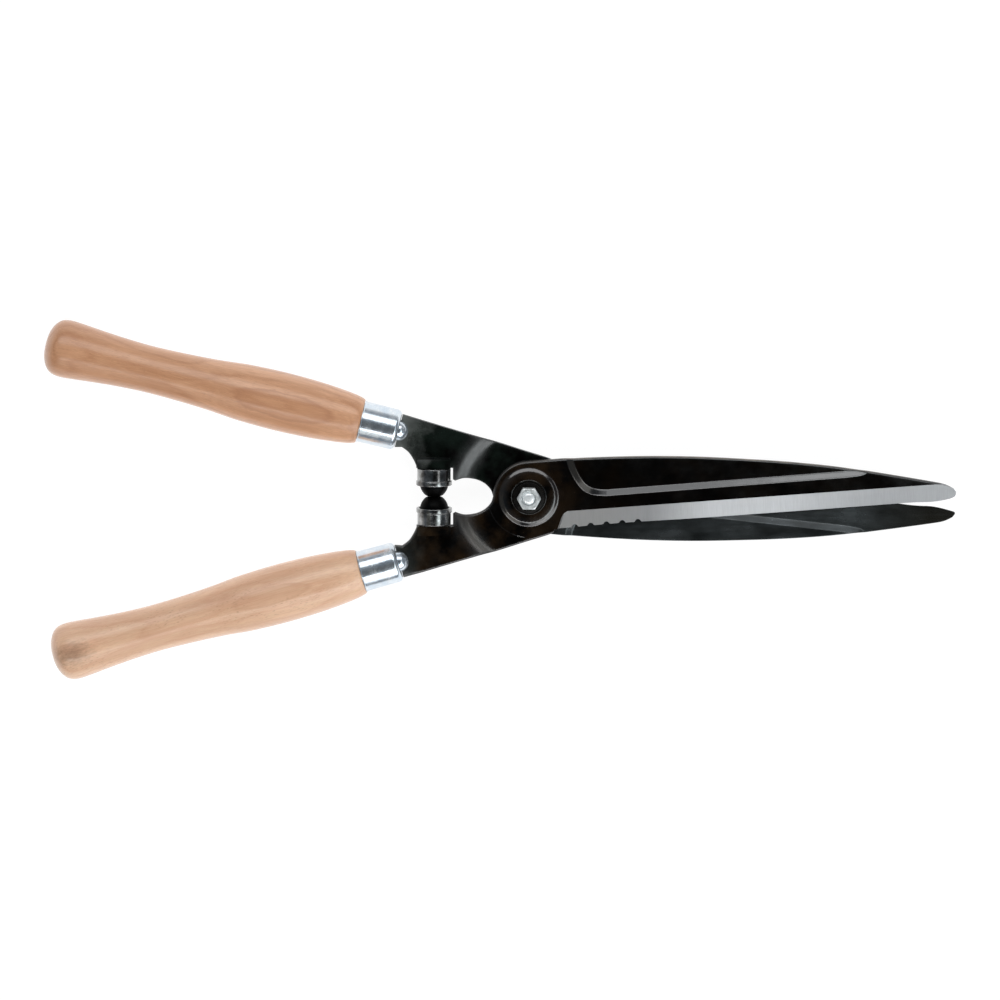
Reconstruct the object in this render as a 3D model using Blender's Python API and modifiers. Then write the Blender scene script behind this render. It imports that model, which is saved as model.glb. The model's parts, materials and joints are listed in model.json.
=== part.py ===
"""Hedge shears with turned beech handles.

Two forged halves lie one over the other on a pivot bolt. Each half is a blade, a round head, a
shank and a tang in one piece of plate. The tang is driven through a plated ferrule into a wooden
handle, and a rubber buffer in a steel cup stops the halves as they close. Each half is modelled in
its own frame, lying face up with its blade along +X, its shank at -Y and the pivot's axis as Z.
The rear half is turned over about X. Sizes are in millimetres until a mesh is made.
"""
import math

import bmesh
import bpy
from mathutils import Matrix, Vector
from mathutils.geometry import delaunay_2d_cdt

MM = 0.001

# Forged plate
PLATE = 4.0
HALF_GAP = 0.15                 # from the shears' mid-plane to a head's inner face
HEAD_LEVEL = HALF_GAP + PLATE / 2
OUTER_FACE = HALF_GAP + PLATE
HEAD_RADIUS = 22.3
HEAD_ARC = (97, 174)            # the head's free edge, in degrees from the blade's direction
JOGGLE_BEARING = 208.7          # the shank drops to the mid-plane between two bend lines, which are
JOGGLE_START = 40.2             # square to this bearing and this far from the pivot
JOGGLE_END = 47.7
JOGGLE_REACH = 32.0
FIT_GAP = 0.3                   # clearance between pieces that touch

# Blade, from the heel to the tip
BACK_EDGE = [(19.5, 24.3), (42, 25.7), (72, 26.9), (102, 27.1), (132, 26.2), (162, 24.7),
             (192, 22.1), (222, 18.0), (252, 13.4), (260, 11.8)]
TIP = [(265.2, 9.4), (267, 6.6), (264.6, 3.2)]
CUTTING_EDGE = [(253, 0.6), (236, -0.4), (188.5, -4.7), (107, -11.9), (57, -15.9), (17, -20.2)]
EDGE_RISE_FROM = 188.5          # beyond here a half's "edge_rise" narrows its blade, in full by
EDGE_RISE_TO = 236.0            # here
GRIND_AT = Vector((57, -5.55))  # a point on the grind's upper line
GRIND_START = 21.7              # where the line begins at the heel
GRIND_END = 287.0               # past the tip
GRIND_RISE = 0.0892             # the line's slope along the blade
GRIND_WIDTH = 10.7
GRIND_DROP = 3.3                # the plate is 0.7 mm thick at the cutting edge
GRIND_CORNER = 3.0
NOTCH_FIRST = 29.2
NOTCH_PITCH = 9.85
NOTCH_COUNT = 5
NOTCH_RADIUS = 1.9
NOTCH_DEPTH = 1.75

# Panel pressed outwards from the blade, which stiffens it
PANEL_LEFT = [(21.7, 30), (23.7, 20), (27.8, 11.5), (33.0, 5), (40.0, 1.7), (49, 1.1)]
PANEL_RIGHT = [(196, 15.0), (204, 16.0), (210, 17.8), (214, 22.5)]
PANEL_HEIGHT = 2.0
PANEL_FLANK = 5.0

# Boss ring and pivot
RING_INNER = 10.6
RING_OUTER = 17.2
RING_HEIGHT = 1.5
BOLT_RADIUS = 4.0
HOLE_RADIUS = BOLT_RADIUS + FIT_GAP
BOLT_HEAD_RADIUS = 8.5
BOLT_HEAD_HEIGHT = 4.2
FLAT_WASHER = 0.9
FLAT_WASHER_RADIUS = 10.1
SPRING_WASHER = 1.2
SPRING_WASHER_RADIUS = 9.4
NUT_ACROSS_FLATS = 13.0
NUT_HEIGHT = 6.5
NUT_OVER_BOLT = 1.0             # the bolt ends this far below the nut's top
CONE_RISE = 0.4                 # height of the spring washer's cone

# Shank
SHANK_OUTER = [(15.5, -22.3), (12, -24.1), (-3, -28.8), (-18, -33.6), (-48, -42.5), (-66, -47.9)]
EYE = [(-46, -10), (-40.5, -11.4), (-33, -10.5), (-27.4, -7.8), (-23.7, -3.8), (-22.3, 0.4)]
SEAT_Y = -18.0
SEAT_LEFT = -70.3
SEAT_RIGHT = -47.4
SEAT_STEP_Y = -10.9             # the seat's right end steps up to the eye
SHANK_CURVE = [(-70.3, -19.5), (-72.0, -23.2), (-75.0, -27.8), (-79.2, -31.2)]
LUG_CENTRE_X = -59.2
LUG_WIDTH = 20.6
LUG_DEPTH = 6.0
LUG_HEIGHT = 16.0

# Handle axis: it passes through AXIS_AT, and the ferrule's face is FACE_OFFSET further on
AXIS_AT = Vector((-93.1, -44.4))
FACE_OFFSET = 12.0
SHANK_END = 10.6                # half the shank's width at the ferrule
TANG_ROOT = 6.0                 # half the tang's width at its two ends
TANG_POINT = 3.0
TANG_LENGTH = 88.0

# Ferrule and handle, measured from the ferrule's face
FERRULE_LENGTH = 24.0
FERRULE_WALL = 0.9
FERRULE_MOUTH = 13.3
FERRULE_SHOULDER = 12.7
SHOULDER_ROUND = 3.0
NOSE_RADIUS = 6.75
NOSE_HEIGHT = 6.5
SPIGOT_START = 4.5
HANDLE_LENGTH = 201.5
# radius of the wood against the distance from the wood's shoulder
HANDLE_SHAPE = [(2.0, 14.6), (6.0, 15.5), (14.0, 16.5), (30.0, 17.8), (52.0, 18.4), (75.0, 17.7),
                (94.0, 16.0), (115.0, 14.9), (135.0, 14.5), (152.0, 15.1), (168.0, 16.3),
                (181.0, 17.5), (188.5, 18.0)]
BUTT = [(194.0, 17.3), (198.2, 15.0), (200.6, 11.0), (HANDLE_LENGTH, 5.0), (HANDLE_LENGTH, 0.0)]

# Buffer, measured from its seat towards the other half
CUP_RADIUS = 10.5
CUP_RIM_RADIUS = 11.2
CUP_RIM_START = 8.2
CUP_HEIGHT = 10.9
CUP_WALL = 1.0
CUP_BASE = 1.5
RUBBER_RADIUS = 8.7
RUBBER_TOP = -SEAT_Y - HALF_GAP
RUBBER_POCKET = 4.8             # height of the pocket over the screw's head
SCREW_RADIUS = 2.0
SCREW_HEAD = 4.0
SCREW_DEPTH = 4.6

HALVES = {
    "front": {"turned": 0.0, "splay": 15.5, "blade_set": -0.9, "edge_rise": 0.0, "notched": True},
    "rear": {"turned": 180.0, "splay": 13.9, "blade_set": 0.9, "edge_rise": 2.0, "notched": False},
}
ROUND_STEPS = 32


# ---------------------------------------------------------------- paths

def polar(radius, degrees):
    return Vector((radius * math.cos(math.radians(degrees)), radius * math.sin(math.radians(degrees))))


def arc(radius, start, end, step=4.0):
    count = max(1, round(abs(end - start) / step))
    return [polar(radius, start + (end - start) * i / count) for i in range(count + 1)]


def smooth(points, steps=3):
    """A Catmull-Rom curve through the points."""
    points = [Vector(p) for p in points]
    path = []
    for i in range(len(points) - 1):
        start, end = points[i], points[i + 1]
        enter = (end - points[max(i - 1, 0)]) / 2
        leave = (points[min(i + 2, len(points) - 1)] - start) / 2
        for s in range(steps):
            t = s / steps
            path.append(start * (2 * t**3 - 3 * t**2 + 1) + enter * (t**3 - 2 * t**2 + t)
                        + end * (3 * t**2 - 2 * t**3) + leave * (t**3 - t**2))
    return path + [points[-1]]


def turn(points, degrees):
    angle = math.radians(degrees)
    return [Vector((p[0] * math.cos(angle) - p[1] * math.sin(angle),
                    p[0] * math.sin(angle) + p[1] * math.cos(angle))) for p in points]


def offset(path, distance):
    """The path moved to its left."""
    moved = []
    for i, point in enumerate(path):
        along = path[min(i + 1, len(path) - 1)] - path[max(i - 1, 0)]
        moved.append(point + Vector((-along.y, along.x)).normalized() * distance)
    return moved


def depth_inside(point, path):
    """How far the point lies to the left of the path, or 0 on its right."""
    nearest = None
    side = 0.0
    for start, end in zip(path, path[1:]):
        along = end - start
        t = min(1.0, max(0.0, (point - start).dot(along) / along.length_squared))
        away = point - (start + along * t)
        if nearest is None or away.length < nearest:
            nearest = away.length
            side = along.x * away.y - along.y * away.x
    return nearest if side > 0 else 0.0


# ---------------------------------------------------------------- objects

def fresh_collection(name):
    old = bpy.data.collections.get(name)
    if old:
        bpy.data.collections.remove(old)
    collection = bpy.data.collections.new(name)
    bpy.context.scene.collection.children.link(collection)
    return collection


def new_object(name, mesh, collection, parent, place=(0, 0, 0), spin=(0, 0, 0)):
    """An object at a place in millimetres, turned by angles in degrees."""
    obj = bpy.data.objects.new(name, mesh)
    collection.objects.link(obj)
    obj.parent = parent
    obj.location = Vector(place) * MM
    obj.rotation_euler = [math.radians(angle) for angle in spin]
    return obj


def turned(name, profile, collection, parent, place=(0, 0, 0), spin=(0, 0, 0), closed=False,
           steps=ROUND_STEPS):
    """A solid turned about its own Z from (radius, height) points, listed down the outer side."""
    mesh = bpy.data.meshes.new(name)
    count = len(profile)
    edges = [(i, i + 1) for i in range(count - 1)]
    if closed:
        edges.append((count - 1, 0))
    mesh.from_pydata([(r * MM, 0, h * MM) for r, h in profile], edges, [])
    obj = new_object(name, mesh, collection, parent, place, spin)
    screw = obj.modifiers.new("turn", "SCREW")
    screw.steps = steps
    screw.render_steps = steps
    screw.use_merge_vertices = True
    screw.merge_threshold = 0.00001
    screw.use_smooth_shade = True
    return obj


def slab(name, outline, thickness, collection, parent, place=(0, 0, 0), spin=(0, 0, 0)):
    """A flat outline with a thickness, centred on its own Z = 0, as a mesh."""
    curve = bpy.data.curves.new(name, "CURVE")
    curve.dimensions = "2D"
    curve.fill_mode = "BOTH"
    curve.extrude = thickness / 2 * MM
    spline = curve.splines.new("POLY")
    spline.points.add(len(outline) - 1)
    for point, (x, y) in zip(spline.points, outline):
        point.co = (x * MM, y * MM, 0, 1)
    spline.use_cyclic_u = True
    guide = bpy.data.objects.new(name + "_curve", curve)
    collection.objects.link(guide)
    depsgraph = bpy.context.evaluated_depsgraph_get()
    mesh = bpy.data.meshes.new_from_object(guide.evaluated_get(depsgraph))
    bpy.data.objects.remove(guide)
    bm = bmesh.new()
    bm.from_mesh(mesh)
    bmesh.ops.remove_doubles(bm, verts=bm.verts, dist=0.000001)
    bm.to_mesh(mesh)
    bm.free()
    return new_object(name, mesh, collection, parent, place, spin)


def box(name, size, collection, parent, place=(0, 0, 0), spin=(0, 0, 0)):
    mesh = bpy.data.meshes.new(name)
    bm = bmesh.new()
    bmesh.ops.create_cube(bm, size=MM)
    bmesh.ops.scale(bm, vec=size, verts=bm.verts)
    bm.to_mesh(mesh)
    bm.free()
    return new_object(name, mesh, collection, parent, place, spin)


def rod(name, radius, bottom, top, collection, parent, place=(0, 0, 0), spin=(0, 0, 0), steps=32):
    profile = [(0, top), (radius, top), (radius, bottom), (0, bottom)]
    return turned(name, profile, collection, parent, place, spin, steps=steps)


def combine(obj, tool, operation):
    """Joins a guide to an object, or cuts with it, and hides the guide."""
    tool.hide_render = True
    tool.display_type = "WIRE"
    modifier = obj.modifiers.new(tool.name, "BOOLEAN")
    modifier.object = tool
    modifier.operation = operation


# ---------------------------------------------------------------- materials

def finish(name, colour, roughness, metallic):
    material = bpy.data.materials.get(name) or bpy.data.materials.new(name)
    material.use_nodes = True
    shader = material.node_tree.nodes["Principled BSDF"]
    shader.inputs["Base Color"].default_value = (*colour, 1.0)
    shader.inputs["Roughness"].default_value = roughness
    shader.inputs["Metallic"].default_value = metallic
    material.diffuse_color = (*colour, 1.0)
    return material


def finishes():
    return {
        "black_steel": finish("black_steel", (0.012, 0.011, 0.010), 0.28, 0.0),
        "beech": finish("beech", (0.58, 0.35, 0.20), 0.42, 0.0),
        "plated_ferrule": finish("plated_ferrule", (0.80, 0.82, 0.84), 0.12, 1.0),
        "plated_cup": finish("plated_cup", (0.52, 0.51, 0.49), 0.20, 1.0),
        "zinc_fastener": finish("zinc_fastener", (0.74, 0.77, 0.79), 0.30, 1.0),
        "black_washer": finish("black_washer", (0.020, 0.019, 0.018), 0.35, 0.4),
        "buffer_rubber": finish("buffer_rubber", (0.012, 0.012, 0.012), 0.55, 0.0),
    }


def paint(obj, material):
    obj.data.materials.clear()
    obj.data.materials.append(material)


# ---------------------------------------------------------------- one forged half

def along_axis(splay, distance, aside=0.0):
    """A point by its distance from AXIS_AT towards the pivot, and its offset to the left."""
    return AXIS_AT + polar(distance, splay) + polar(aside, splay + 90)


def blade_edge(edge_rise):
    """The cutting edge from the heel to the tip."""
    def risen(x, y):
        share = (x - EDGE_RISE_FROM) / (EDGE_RISE_TO - EDGE_RISE_FROM)
        return x, y + edge_rise * min(1.0, max(0.0, share))

    heel_to_tip = CUTTING_EDGE[::-1] + TIP[:1:-1]
    return [risen(x, y) for x, y in heel_to_tip] + TIP[1::-1]


def half_outline(splay, blade_set, edge_rise):
    """The forging seen face up, anticlockwise from the tangent point on top of the head."""
    blade = smooth(blade_edge(edge_rise) + BACK_EDGE[::-1])
    head = arc(HEAD_RADIUS, *HEAD_ARC)
    end = FACE_OFFSET + FIT_GAP
    tang = [along_axis(splay, end, SHANK_END), along_axis(splay, end, TANG_ROOT),
            along_axis(splay, end - TANG_LENGTH, TANG_POINT),
            along_axis(splay, end - TANG_LENGTH, -TANG_POINT),
            along_axis(splay, end, -TANG_ROOT), along_axis(splay, end, -SHANK_END)]
    seat = [Vector((SEAT_RIGHT, SEAT_STEP_Y)), Vector((SEAT_RIGHT, SEAT_Y)), Vector((SEAT_LEFT, SEAT_Y))]
    outer = smooth(list(reversed(SHANK_OUTER)), 2)
    return (turn(blade, blade_set) + head + smooth(EYE[::-1], 2) + seat
            + smooth(SHANK_CURVE, 2) + tang + outer)


def panel_foot(blade_set):
    """The line where the pressed panel rises from the blade, with the panel on its left."""
    return turn(smooth(PANEL_LEFT, 3) + smooth(PANEL_RIGHT, 3), blade_set)


def forged_height(point, foot):
    """Height of the plate's middle over the shears' mid-plane."""
    drop = (point.dot(polar(1.0, JOGGLE_BEARING)) - JOGGLE_START) / (JOGGLE_END - JOGGLE_START)
    level = HEAD_LEVEL * (1.0 - min(1.0, max(0.0, drop)))
    return level + PANEL_HEIGHT * min(1.0, depth_inside(point, foot) / PANEL_FLANK)


def bend_line(distance):
    """A straight line across the shank, square to the joggle's bearing."""
    middle = polar(distance, JOGGLE_BEARING)
    across = polar(JOGGLE_REACH, JOGGLE_BEARING + 90)
    return [middle - across, middle + across]


def forged_plate(name, spec, collection, parent):
    """The plate: its outline filled between the creases, raised, and thickened."""
    outline = half_outline(spec["splay"], spec["blade_set"], spec["edge_rise"])
    foot = panel_foot(spec["blade_set"])
    creases = [foot, offset(foot, PANEL_FLANK), bend_line(JOGGLE_START), bend_line(JOGGLE_END)]
    points = list(outline)
    edges = []
    for crease in creases:
        edges += [(len(points) + i, len(points) + i + 1) for i in range(len(crease) - 1)]
        points += crease
    boundary = [list(range(len(outline)))]
    flat, _, faces, _, _, _ = delaunay_2d_cdt(points, edges, boundary, 1, 0.0001)
    mesh = bpy.data.meshes.new(name)
    raised = [(p.x * MM, p.y * MM, forged_height(p, foot) * MM) for p in flat]
    mesh.from_pydata(raised, [], faces)
    bm = bmesh.new()
    bm.from_mesh(mesh)
    loose = [v for v in bm.verts if not v.link_faces]
    bmesh.ops.delete(bm, geom=loose, context="VERTS")
    bm.to_mesh(mesh)
    bm.free()
    obj = new_object(name, mesh, collection, parent)
    solidify = obj.modifiers.new("plate", "SOLIDIFY")
    solidify.thickness = PLATE * MM
    solidify.offset = 0.0
    solidify.use_even_offset = True
    return obj


def boss_ring(name, cutters, parent):
    """The raised ring round the pivot, with its foot sunk in the head."""
    sunk = OUTER_FACE - 1.0
    top = OUTER_FACE + RING_HEIGHT
    profile = [(RING_INNER + 1.6, top), (RING_OUTER - 2.2, top), (RING_OUTER, OUTER_FACE + 0.2),
               (RING_OUTER, sunk), (RING_INNER, sunk), (RING_INNER, OUTER_FACE + 0.4)]
    return turned(name, profile, cutters, parent, closed=True)


def buffer_lug(name, cutters, parent):
    """The upset lug at the shank's edge that carries the buffer, drilled for its screw."""
    place = (LUG_CENTRE_X, SEAT_Y - LUG_DEPTH / 2, 0)
    return box(name, (LUG_WIDTH, LUG_DEPTH, LUG_HEIGHT), cutters, parent, place)


def grind_cutter(name, blade_set, cutters, parent):
    """What the grinding wheel takes off the outer face along the cutting edge."""
    slope = math.degrees(math.atan(GRIND_RISE))
    tilt = math.degrees(math.atan(GRIND_DROP / GRIND_WIDTH))
    start = GRIND_START - GRIND_AT.x
    end = GRIND_END - GRIND_AT.x
    reach = 2 * GRIND_WIDTH
    above = 10.0
    corner = smooth([(start - 0.4 * GRIND_CORNER, -GRIND_CORNER),
                     (start + 0.4 * GRIND_CORNER, -0.7), (start + GRIND_CORNER, 0)], 3)
    outline = corner + [Vector((end, 0)), Vector((end, -reach)), Vector((start - 9, -reach))]
    place = turn([GRIND_AT], blade_set)[0]
    cutter = slab(name, outline[::-1], 2 * above, cutters, parent)
    for vertex in cutter.data.vertices:
        vertex.co.z += above * MM
    cutter.location = (place.x * MM, place.y * MM, OUTER_FACE * MM)
    cutter.rotation_euler = (math.radians(tilt), 0, math.radians(slope + blade_set))
    return cutter


def edge_height(x):
    """Y of the cutting edge at a distance along the blade."""
    points = sorted(CUTTING_EDGE)
    for (x0, y0), (x1, y1) in zip(points, points[1:]):
        if x0 <= x <= x1:
            return y0 + (y1 - y0) * (x - x0) / (x1 - x0)
    return points[-1][1]


def notches(obj, name, blade_set, cutters, parent):
    """Round bites in the cutting edge near the heel, which hold thick twigs."""
    for i in range(NOTCH_COUNT):
        x = NOTCH_FIRST + i * NOTCH_PITCH
        y = edge_height(x) + NOTCH_DEPTH - NOTCH_RADIUS
        place = turn([(x, y)], blade_set)[0]
        tool = rod(f"{name}_notch_{i + 1}", NOTCH_RADIUS, -1, OUTER_FACE + 2, cutters, parent,
                   (place.x, place.y, 0), steps=16)
        combine(obj, tool, "DIFFERENCE")


def pivot_hole(name, square, cutters, parent):
    """A round hole, or a square one that holds the bolt's neck."""
    top = OUTER_FACE + RING_HEIGHT + 1
    if square:
        return box(name, (2 * HOLE_RADIUS, 2 * HOLE_RADIUS, 2 * top), cutters, parent)
    return rod(name, HOLE_RADIUS, -1, top, cutters, parent)


def forging(half, spec, collection, cutters, parent):
    name = half + "_blade"
    blade_set = spec["blade_set"]
    obj = forged_plate(name, spec, collection, parent)
    combine(obj, boss_ring(name + "_ring", cutters, parent), "UNION")
    combine(obj, buffer_lug(name + "_lug", cutters, parent), "UNION")
    hole = rod(name + "_screw_hole", SCREW_RADIUS + FIT_GAP, -SCREW_DEPTH - FIT_GAP, 5, cutters,
               parent, (LUG_CENTRE_X, SEAT_Y, 0), (-90, 0, 0))
    combine(obj, hole, "DIFFERENCE")
    combine(obj, grind_cutter(name + "_grind", blade_set, cutters, parent), "DIFFERENCE")
    if spec["notched"]:
        notches(obj, name, blade_set, cutters, parent)
    square = half == "rear"
    combine(obj, pivot_hole(name + "_pivot_hole", square, cutters, parent), "DIFFERENCE")
    return obj


# ---------------------------------------------------------------- handle

def ferrule_profile():
    """Down the outer side from the nose to the mouth, and back up the inner side."""
    shoulder = FERRULE_SHOULDER - SHOULDER_ROUND
    inner_nose = NOSE_RADIUS - FERRULE_WALL
    outer = [(NOSE_RADIUS * math.sin(a), NOSE_HEIGHT * math.cos(a))
             for a in (math.radians(d) for d in (0, 18, 36, 54, 72, 90))]
    rounded = [(shoulder + SHOULDER_ROUND * math.sin(a), SHOULDER_ROUND * (math.cos(a) - 1))
               for a in (math.radians(d) for d in (0, 22.5, 45, 67.5, 90))]
    mouth = [(FERRULE_MOUTH, -FERRULE_LENGTH), (FERRULE_MOUTH - FERRULE_WALL, -FERRULE_LENGTH)]
    inner = [(FERRULE_SHOULDER - FERRULE_WALL, -SHOULDER_ROUND),
             (shoulder, -FERRULE_WALL), (inner_nose, -FERRULE_WALL)]
    cavity = [(inner_nose * math.sin(a), (NOSE_HEIGHT - FERRULE_WALL) * math.cos(a))
              for a in (math.radians(d) for d in (80, 60, 40, 20, 0))]
    return outer + rounded + mouth + inner + cavity


def ferrule(name, place, spin, collection, cutters, parent):
    """A drawn cap with a domed nose, slotted so that it straddles the shank's plate."""
    obj = turned(name, ferrule_profile(), collection, parent, place, spin)
    slot_height = PLATE + 2 * FIT_GAP
    nose_slot = box(name + "_nose_slot", (slot_height, 3 * NOSE_RADIUS, 10), cutters, parent,
                    place, spin)
    for vertex in nose_slot.data.vertices:
        vertex.co.z += 5 * MM
    tang_slot = box(name + "_tang_slot", (slot_height, 2 * (TANG_ROOT + FIT_GAP), 4), cutters,
                    parent, place, spin)
    combine(obj, nose_slot, "DIFFERENCE")
    combine(obj, tang_slot, "DIFFERENCE")
    return obj


def handle(name, place, spin, collection, cutters, parent):
    """Turned wood with a spigot for the ferrule, bored for the tang."""
    shoulder = -FERRULE_LENGTH - FIT_GAP
    spigot = FERRULE_SHOULDER - FERRULE_WALL - FIT_GAP
    profile = [(0, -SPIGOT_START), (spigot - 1.5, -SPIGOT_START), (spigot, -SPIGOT_START - 1.5),
               (spigot, shoulder), (FERRULE_MOUTH, shoulder)]
    swell = smooth(HANDLE_SHAPE, 2) + BUTT
    profile += [(r, shoulder - d) for d, r in swell]
    obj = turned(name, profile, collection, parent, place, spin)
    gap = FIT_GAP
    bore = [(TANG_ROOT + gap, 2), (-TANG_ROOT - gap, 2), (-TANG_POINT - gap, -TANG_LENGTH - 1),
            (TANG_POINT + gap, -TANG_LENGTH - 1)]
    cutter = slab(name + "_bore", bore, PLATE + 2 * gap, cutters, parent, place)
    cutter.rotation_euler = (0, 0, math.radians(spin[2] - 90))
    combine(obj, cutter, "DIFFERENCE")
    return obj


# ---------------------------------------------------------------- buffer

def buffer_cup(name, place, spin, collection, parent):
    hole = SCREW_RADIUS + FIT_GAP
    inner = CUP_RADIUS - CUP_WALL
    profile = [(inner, CUP_HEIGHT), (CUP_RIM_RADIUS - 0.5, CUP_HEIGHT), (CUP_RIM_RADIUS, CUP_HEIGHT - 0.5),
               (CUP_RIM_RADIUS, CUP_RIM_START + 0.5), (CUP_RADIUS, CUP_RIM_START),
               (CUP_RADIUS, 1.5), (CUP_RADIUS - 1.2, FIT_GAP), (hole, FIT_GAP), (hole, CUP_BASE),
               (inner, CUP_BASE)]
    return turned(name, profile, collection, parent, place, spin, closed=True)


def rubber(name, place, spin, collection, parent):
    """A domed block that fills the cup and stands out of it, hollowed for the screw's head."""
    bottom = CUP_BASE + FIT_GAP
    plug = CUP_RADIUS - CUP_WALL - FIT_GAP
    over = CUP_HEIGHT + FIT_GAP
    dome = [(8.6, 11.9), (8.1, 13.6), (7.0, 15.5), (5.6, 17.0), (4.0, RUBBER_TOP)]
    profile = [(0, RUBBER_TOP)] + dome[::-1]
    profile += [(RUBBER_RADIUS, over), (plug, over), (plug, bottom), (SCREW_HEAD + FIT_GAP, bottom),
                (SCREW_HEAD + FIT_GAP, RUBBER_POCKET), (0, RUBBER_POCKET)]
    return turned(name, profile, collection, parent, place, spin)


def buffer_screw(name, place, spin, collection, parent):
    seat = CUP_BASE + FIT_GAP
    profile = [(0, seat + 2.5), (2.4, seat + 2.2), (SCREW_HEAD, seat + 1.0), (SCREW_HEAD, seat),
               (SCREW_RADIUS, seat), (SCREW_RADIUS, -SCREW_DEPTH), (0, -SCREW_DEPTH)]
    return turned(name, profile, collection, parent, place, spin, steps=24)


# ---------------------------------------------------------------- pivot

def pivot_bolt(collection, cutters, parent, end):
    """A cup-head bolt: its square neck sits in the rear half, and it comes up through the front."""
    under = -OUTER_FACE - FIT_GAP
    head = [(BOLT_HEAD_RADIUS * math.cos(a), under - BOLT_HEAD_HEIGHT * math.sin(a))
            for a in (math.radians(d) for d in (0, 15, 30, 45, 60, 75, 90))]
    profile = [(0, end), (BOLT_RADIUS - 0.8, end), (BOLT_RADIUS, end - 0.8), (BOLT_RADIUS, under)]
    obj = turned("pivot_bolt", profile + head, collection, parent)
    neck_top = -HALF_GAP
    neck_low = under - 1.0
    neck = box("pivot_bolt_neck", (2 * BOLT_RADIUS, 2 * BOLT_RADIUS, neck_top - neck_low), cutters,
               parent, (0, 0, (neck_top + neck_low) / 2))
    combine(obj, neck, "UNION")
    return obj


def hex_nut(collection, cutters, parent, base):
    """A hexagon with its corners turned back at both ends."""
    corner = NUT_ACROSS_FLATS / math.sqrt(3)
    mesh = bpy.data.meshes.new("pivot_nut")
    bm = bmesh.new()
    bmesh.ops.create_cone(bm, cap_ends=True, segments=6, radius1=corner * MM, radius2=corner * MM,
                          depth=NUT_HEIGHT * MM)
    corners_along_x = Matrix.Rotation(math.radians(30), 3, "Z")
    bmesh.ops.rotate(bm, verts=bm.verts, matrix=corners_along_x, cent=(0, 0, 0))
    bm.to_mesh(mesh)
    bm.free()
    obj = new_object("pivot_nut", mesh, collection, parent, (0, 0, base + NUT_HEIGHT / 2))
    flat = NUT_ACROSS_FLATS / 2
    half = NUT_HEIGHT / 2
    wide = corner + 1
    drop = (wide - flat) * math.tan(math.radians(30))
    profile = [(0, half), (flat, half), (wide, half - drop), (wide, drop - half), (flat, -half),
               (0, -half)]
    chamfer = turned("pivot_nut_chamfer", profile, cutters, parent, (0, 0, base + half))
    combine(obj, chamfer, "INTERSECT")
    combine(obj, rod("pivot_nut_bore", HOLE_RADIUS, -half - 1, half + 1, cutters, parent,
                     (0, 0, base + half)), "DIFFERENCE")
    return obj


def ring_washer(name, outer, thickness, base, rise, collection, parent):
    """A flat washer, or a coned one whose hole's edge stands higher by the rise."""
    profile = [(HOLE_RADIUS, base + thickness + rise), (outer, base + thickness), (outer, base),
               (HOLE_RADIUS, base + rise)]
    return turned(name, profile, collection, parent, closed=True)


def pivot_stack(collection, cutters, parent, finish_of):
    """Bolt, flat washer, spring washer and nut, from the rear to the front."""
    flat_base = OUTER_FACE + FIT_GAP
    spring_base = flat_base + FLAT_WASHER + FIT_GAP
    nut_base = spring_base + SPRING_WASHER + FIT_GAP
    end = nut_base + NUT_HEIGHT - NUT_OVER_BOLT
    paint(pivot_bolt(collection, cutters, parent, end), finish_of["zinc_fastener"])
    paint(ring_washer("flat_washer", FLAT_WASHER_RADIUS, FLAT_WASHER, flat_base, 0.0, collection,
                      parent), finish_of["black_washer"])
    paint(ring_washer("spring_washer", SPRING_WASHER_RADIUS, SPRING_WASHER - CONE_RISE, spring_base,
                      CONE_RISE, collection, parent), finish_of["black_washer"])
    paint(hex_nut(collection, cutters, parent, nut_base), finish_of["zinc_fastener"])


# ---------------------------------------------------------------- the shears

def build_half(half, spec, collection, cutters, parent, finish_of):
    paint(forging(half, spec, collection, cutters, parent), finish_of["black_steel"])
    face = along_axis(spec["splay"], FACE_OFFSET)
    place = (face.x, face.y, 0)
    spin = (0, 90, spec["splay"])
    paint(ferrule(half + "_ferrule", place, spin, collection, cutters, parent),
          finish_of["plated_ferrule"])
    paint(handle(half + "_handle", place, spin, collection, cutters, parent), finish_of["beech"])
    seat = (LUG_CENTRE_X, SEAT_Y, 0)
    up = (-90, 0, 0)
    paint(buffer_cup(half + "_buffer_cup", seat, up, collection, parent), finish_of["plated_cup"])
    paint(rubber(half + "_buffer", seat, up, collection, parent), finish_of["buffer_rubber"])
    paint(buffer_screw(half + "_buffer_screw", seat, up, collection, parent),
          finish_of["zinc_fastener"])


def stand_on_floor(collection, frames):
    """Moves the whole tool so that the origin is the middle of the bottom of its box."""
    depsgraph = bpy.context.evaluated_depsgraph_get()
    corners = []
    for obj in collection.objects:
        if obj.type == "MESH":
            solid = obj.evaluated_get(depsgraph)
            corners += [solid.matrix_world @ vertex.co for vertex in solid.data.vertices]
    low = [min(corner[axis] for corner in corners) for axis in range(3)]
    high = [max(corner[axis] for corner in corners) for axis in range(3)]
    move = Vector((-(low[0] + high[0]) / 2, -(low[1] + high[1]) / 2, -low[2]))
    for frame in frames:
        frame.location += move
    print("pivot at", [round(value, 6) for value in move])


def main():
    for obj in list(bpy.data.objects):
        bpy.data.objects.remove(obj)
    collection = fresh_collection("hedge_shears")
    cutters = fresh_collection("hedge_shears_cutters")
    finish_of = finishes()
    frames = []
    for half, spec in HALVES.items():
        frame = new_object(half + "_half", None, collection, None, spin=(spec["turned"], 0, 0))
        frames.append(frame)
        build_half(half, spec, collection, cutters, frame, finish_of)
    pivot = new_object("pivot", None, collection, None)
    frames.append(pivot)
    pivot_stack(collection, cutters, pivot, finish_of)
    bpy.context.view_layer.update()
    stand_on_floor(collection, frames)


main()
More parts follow.
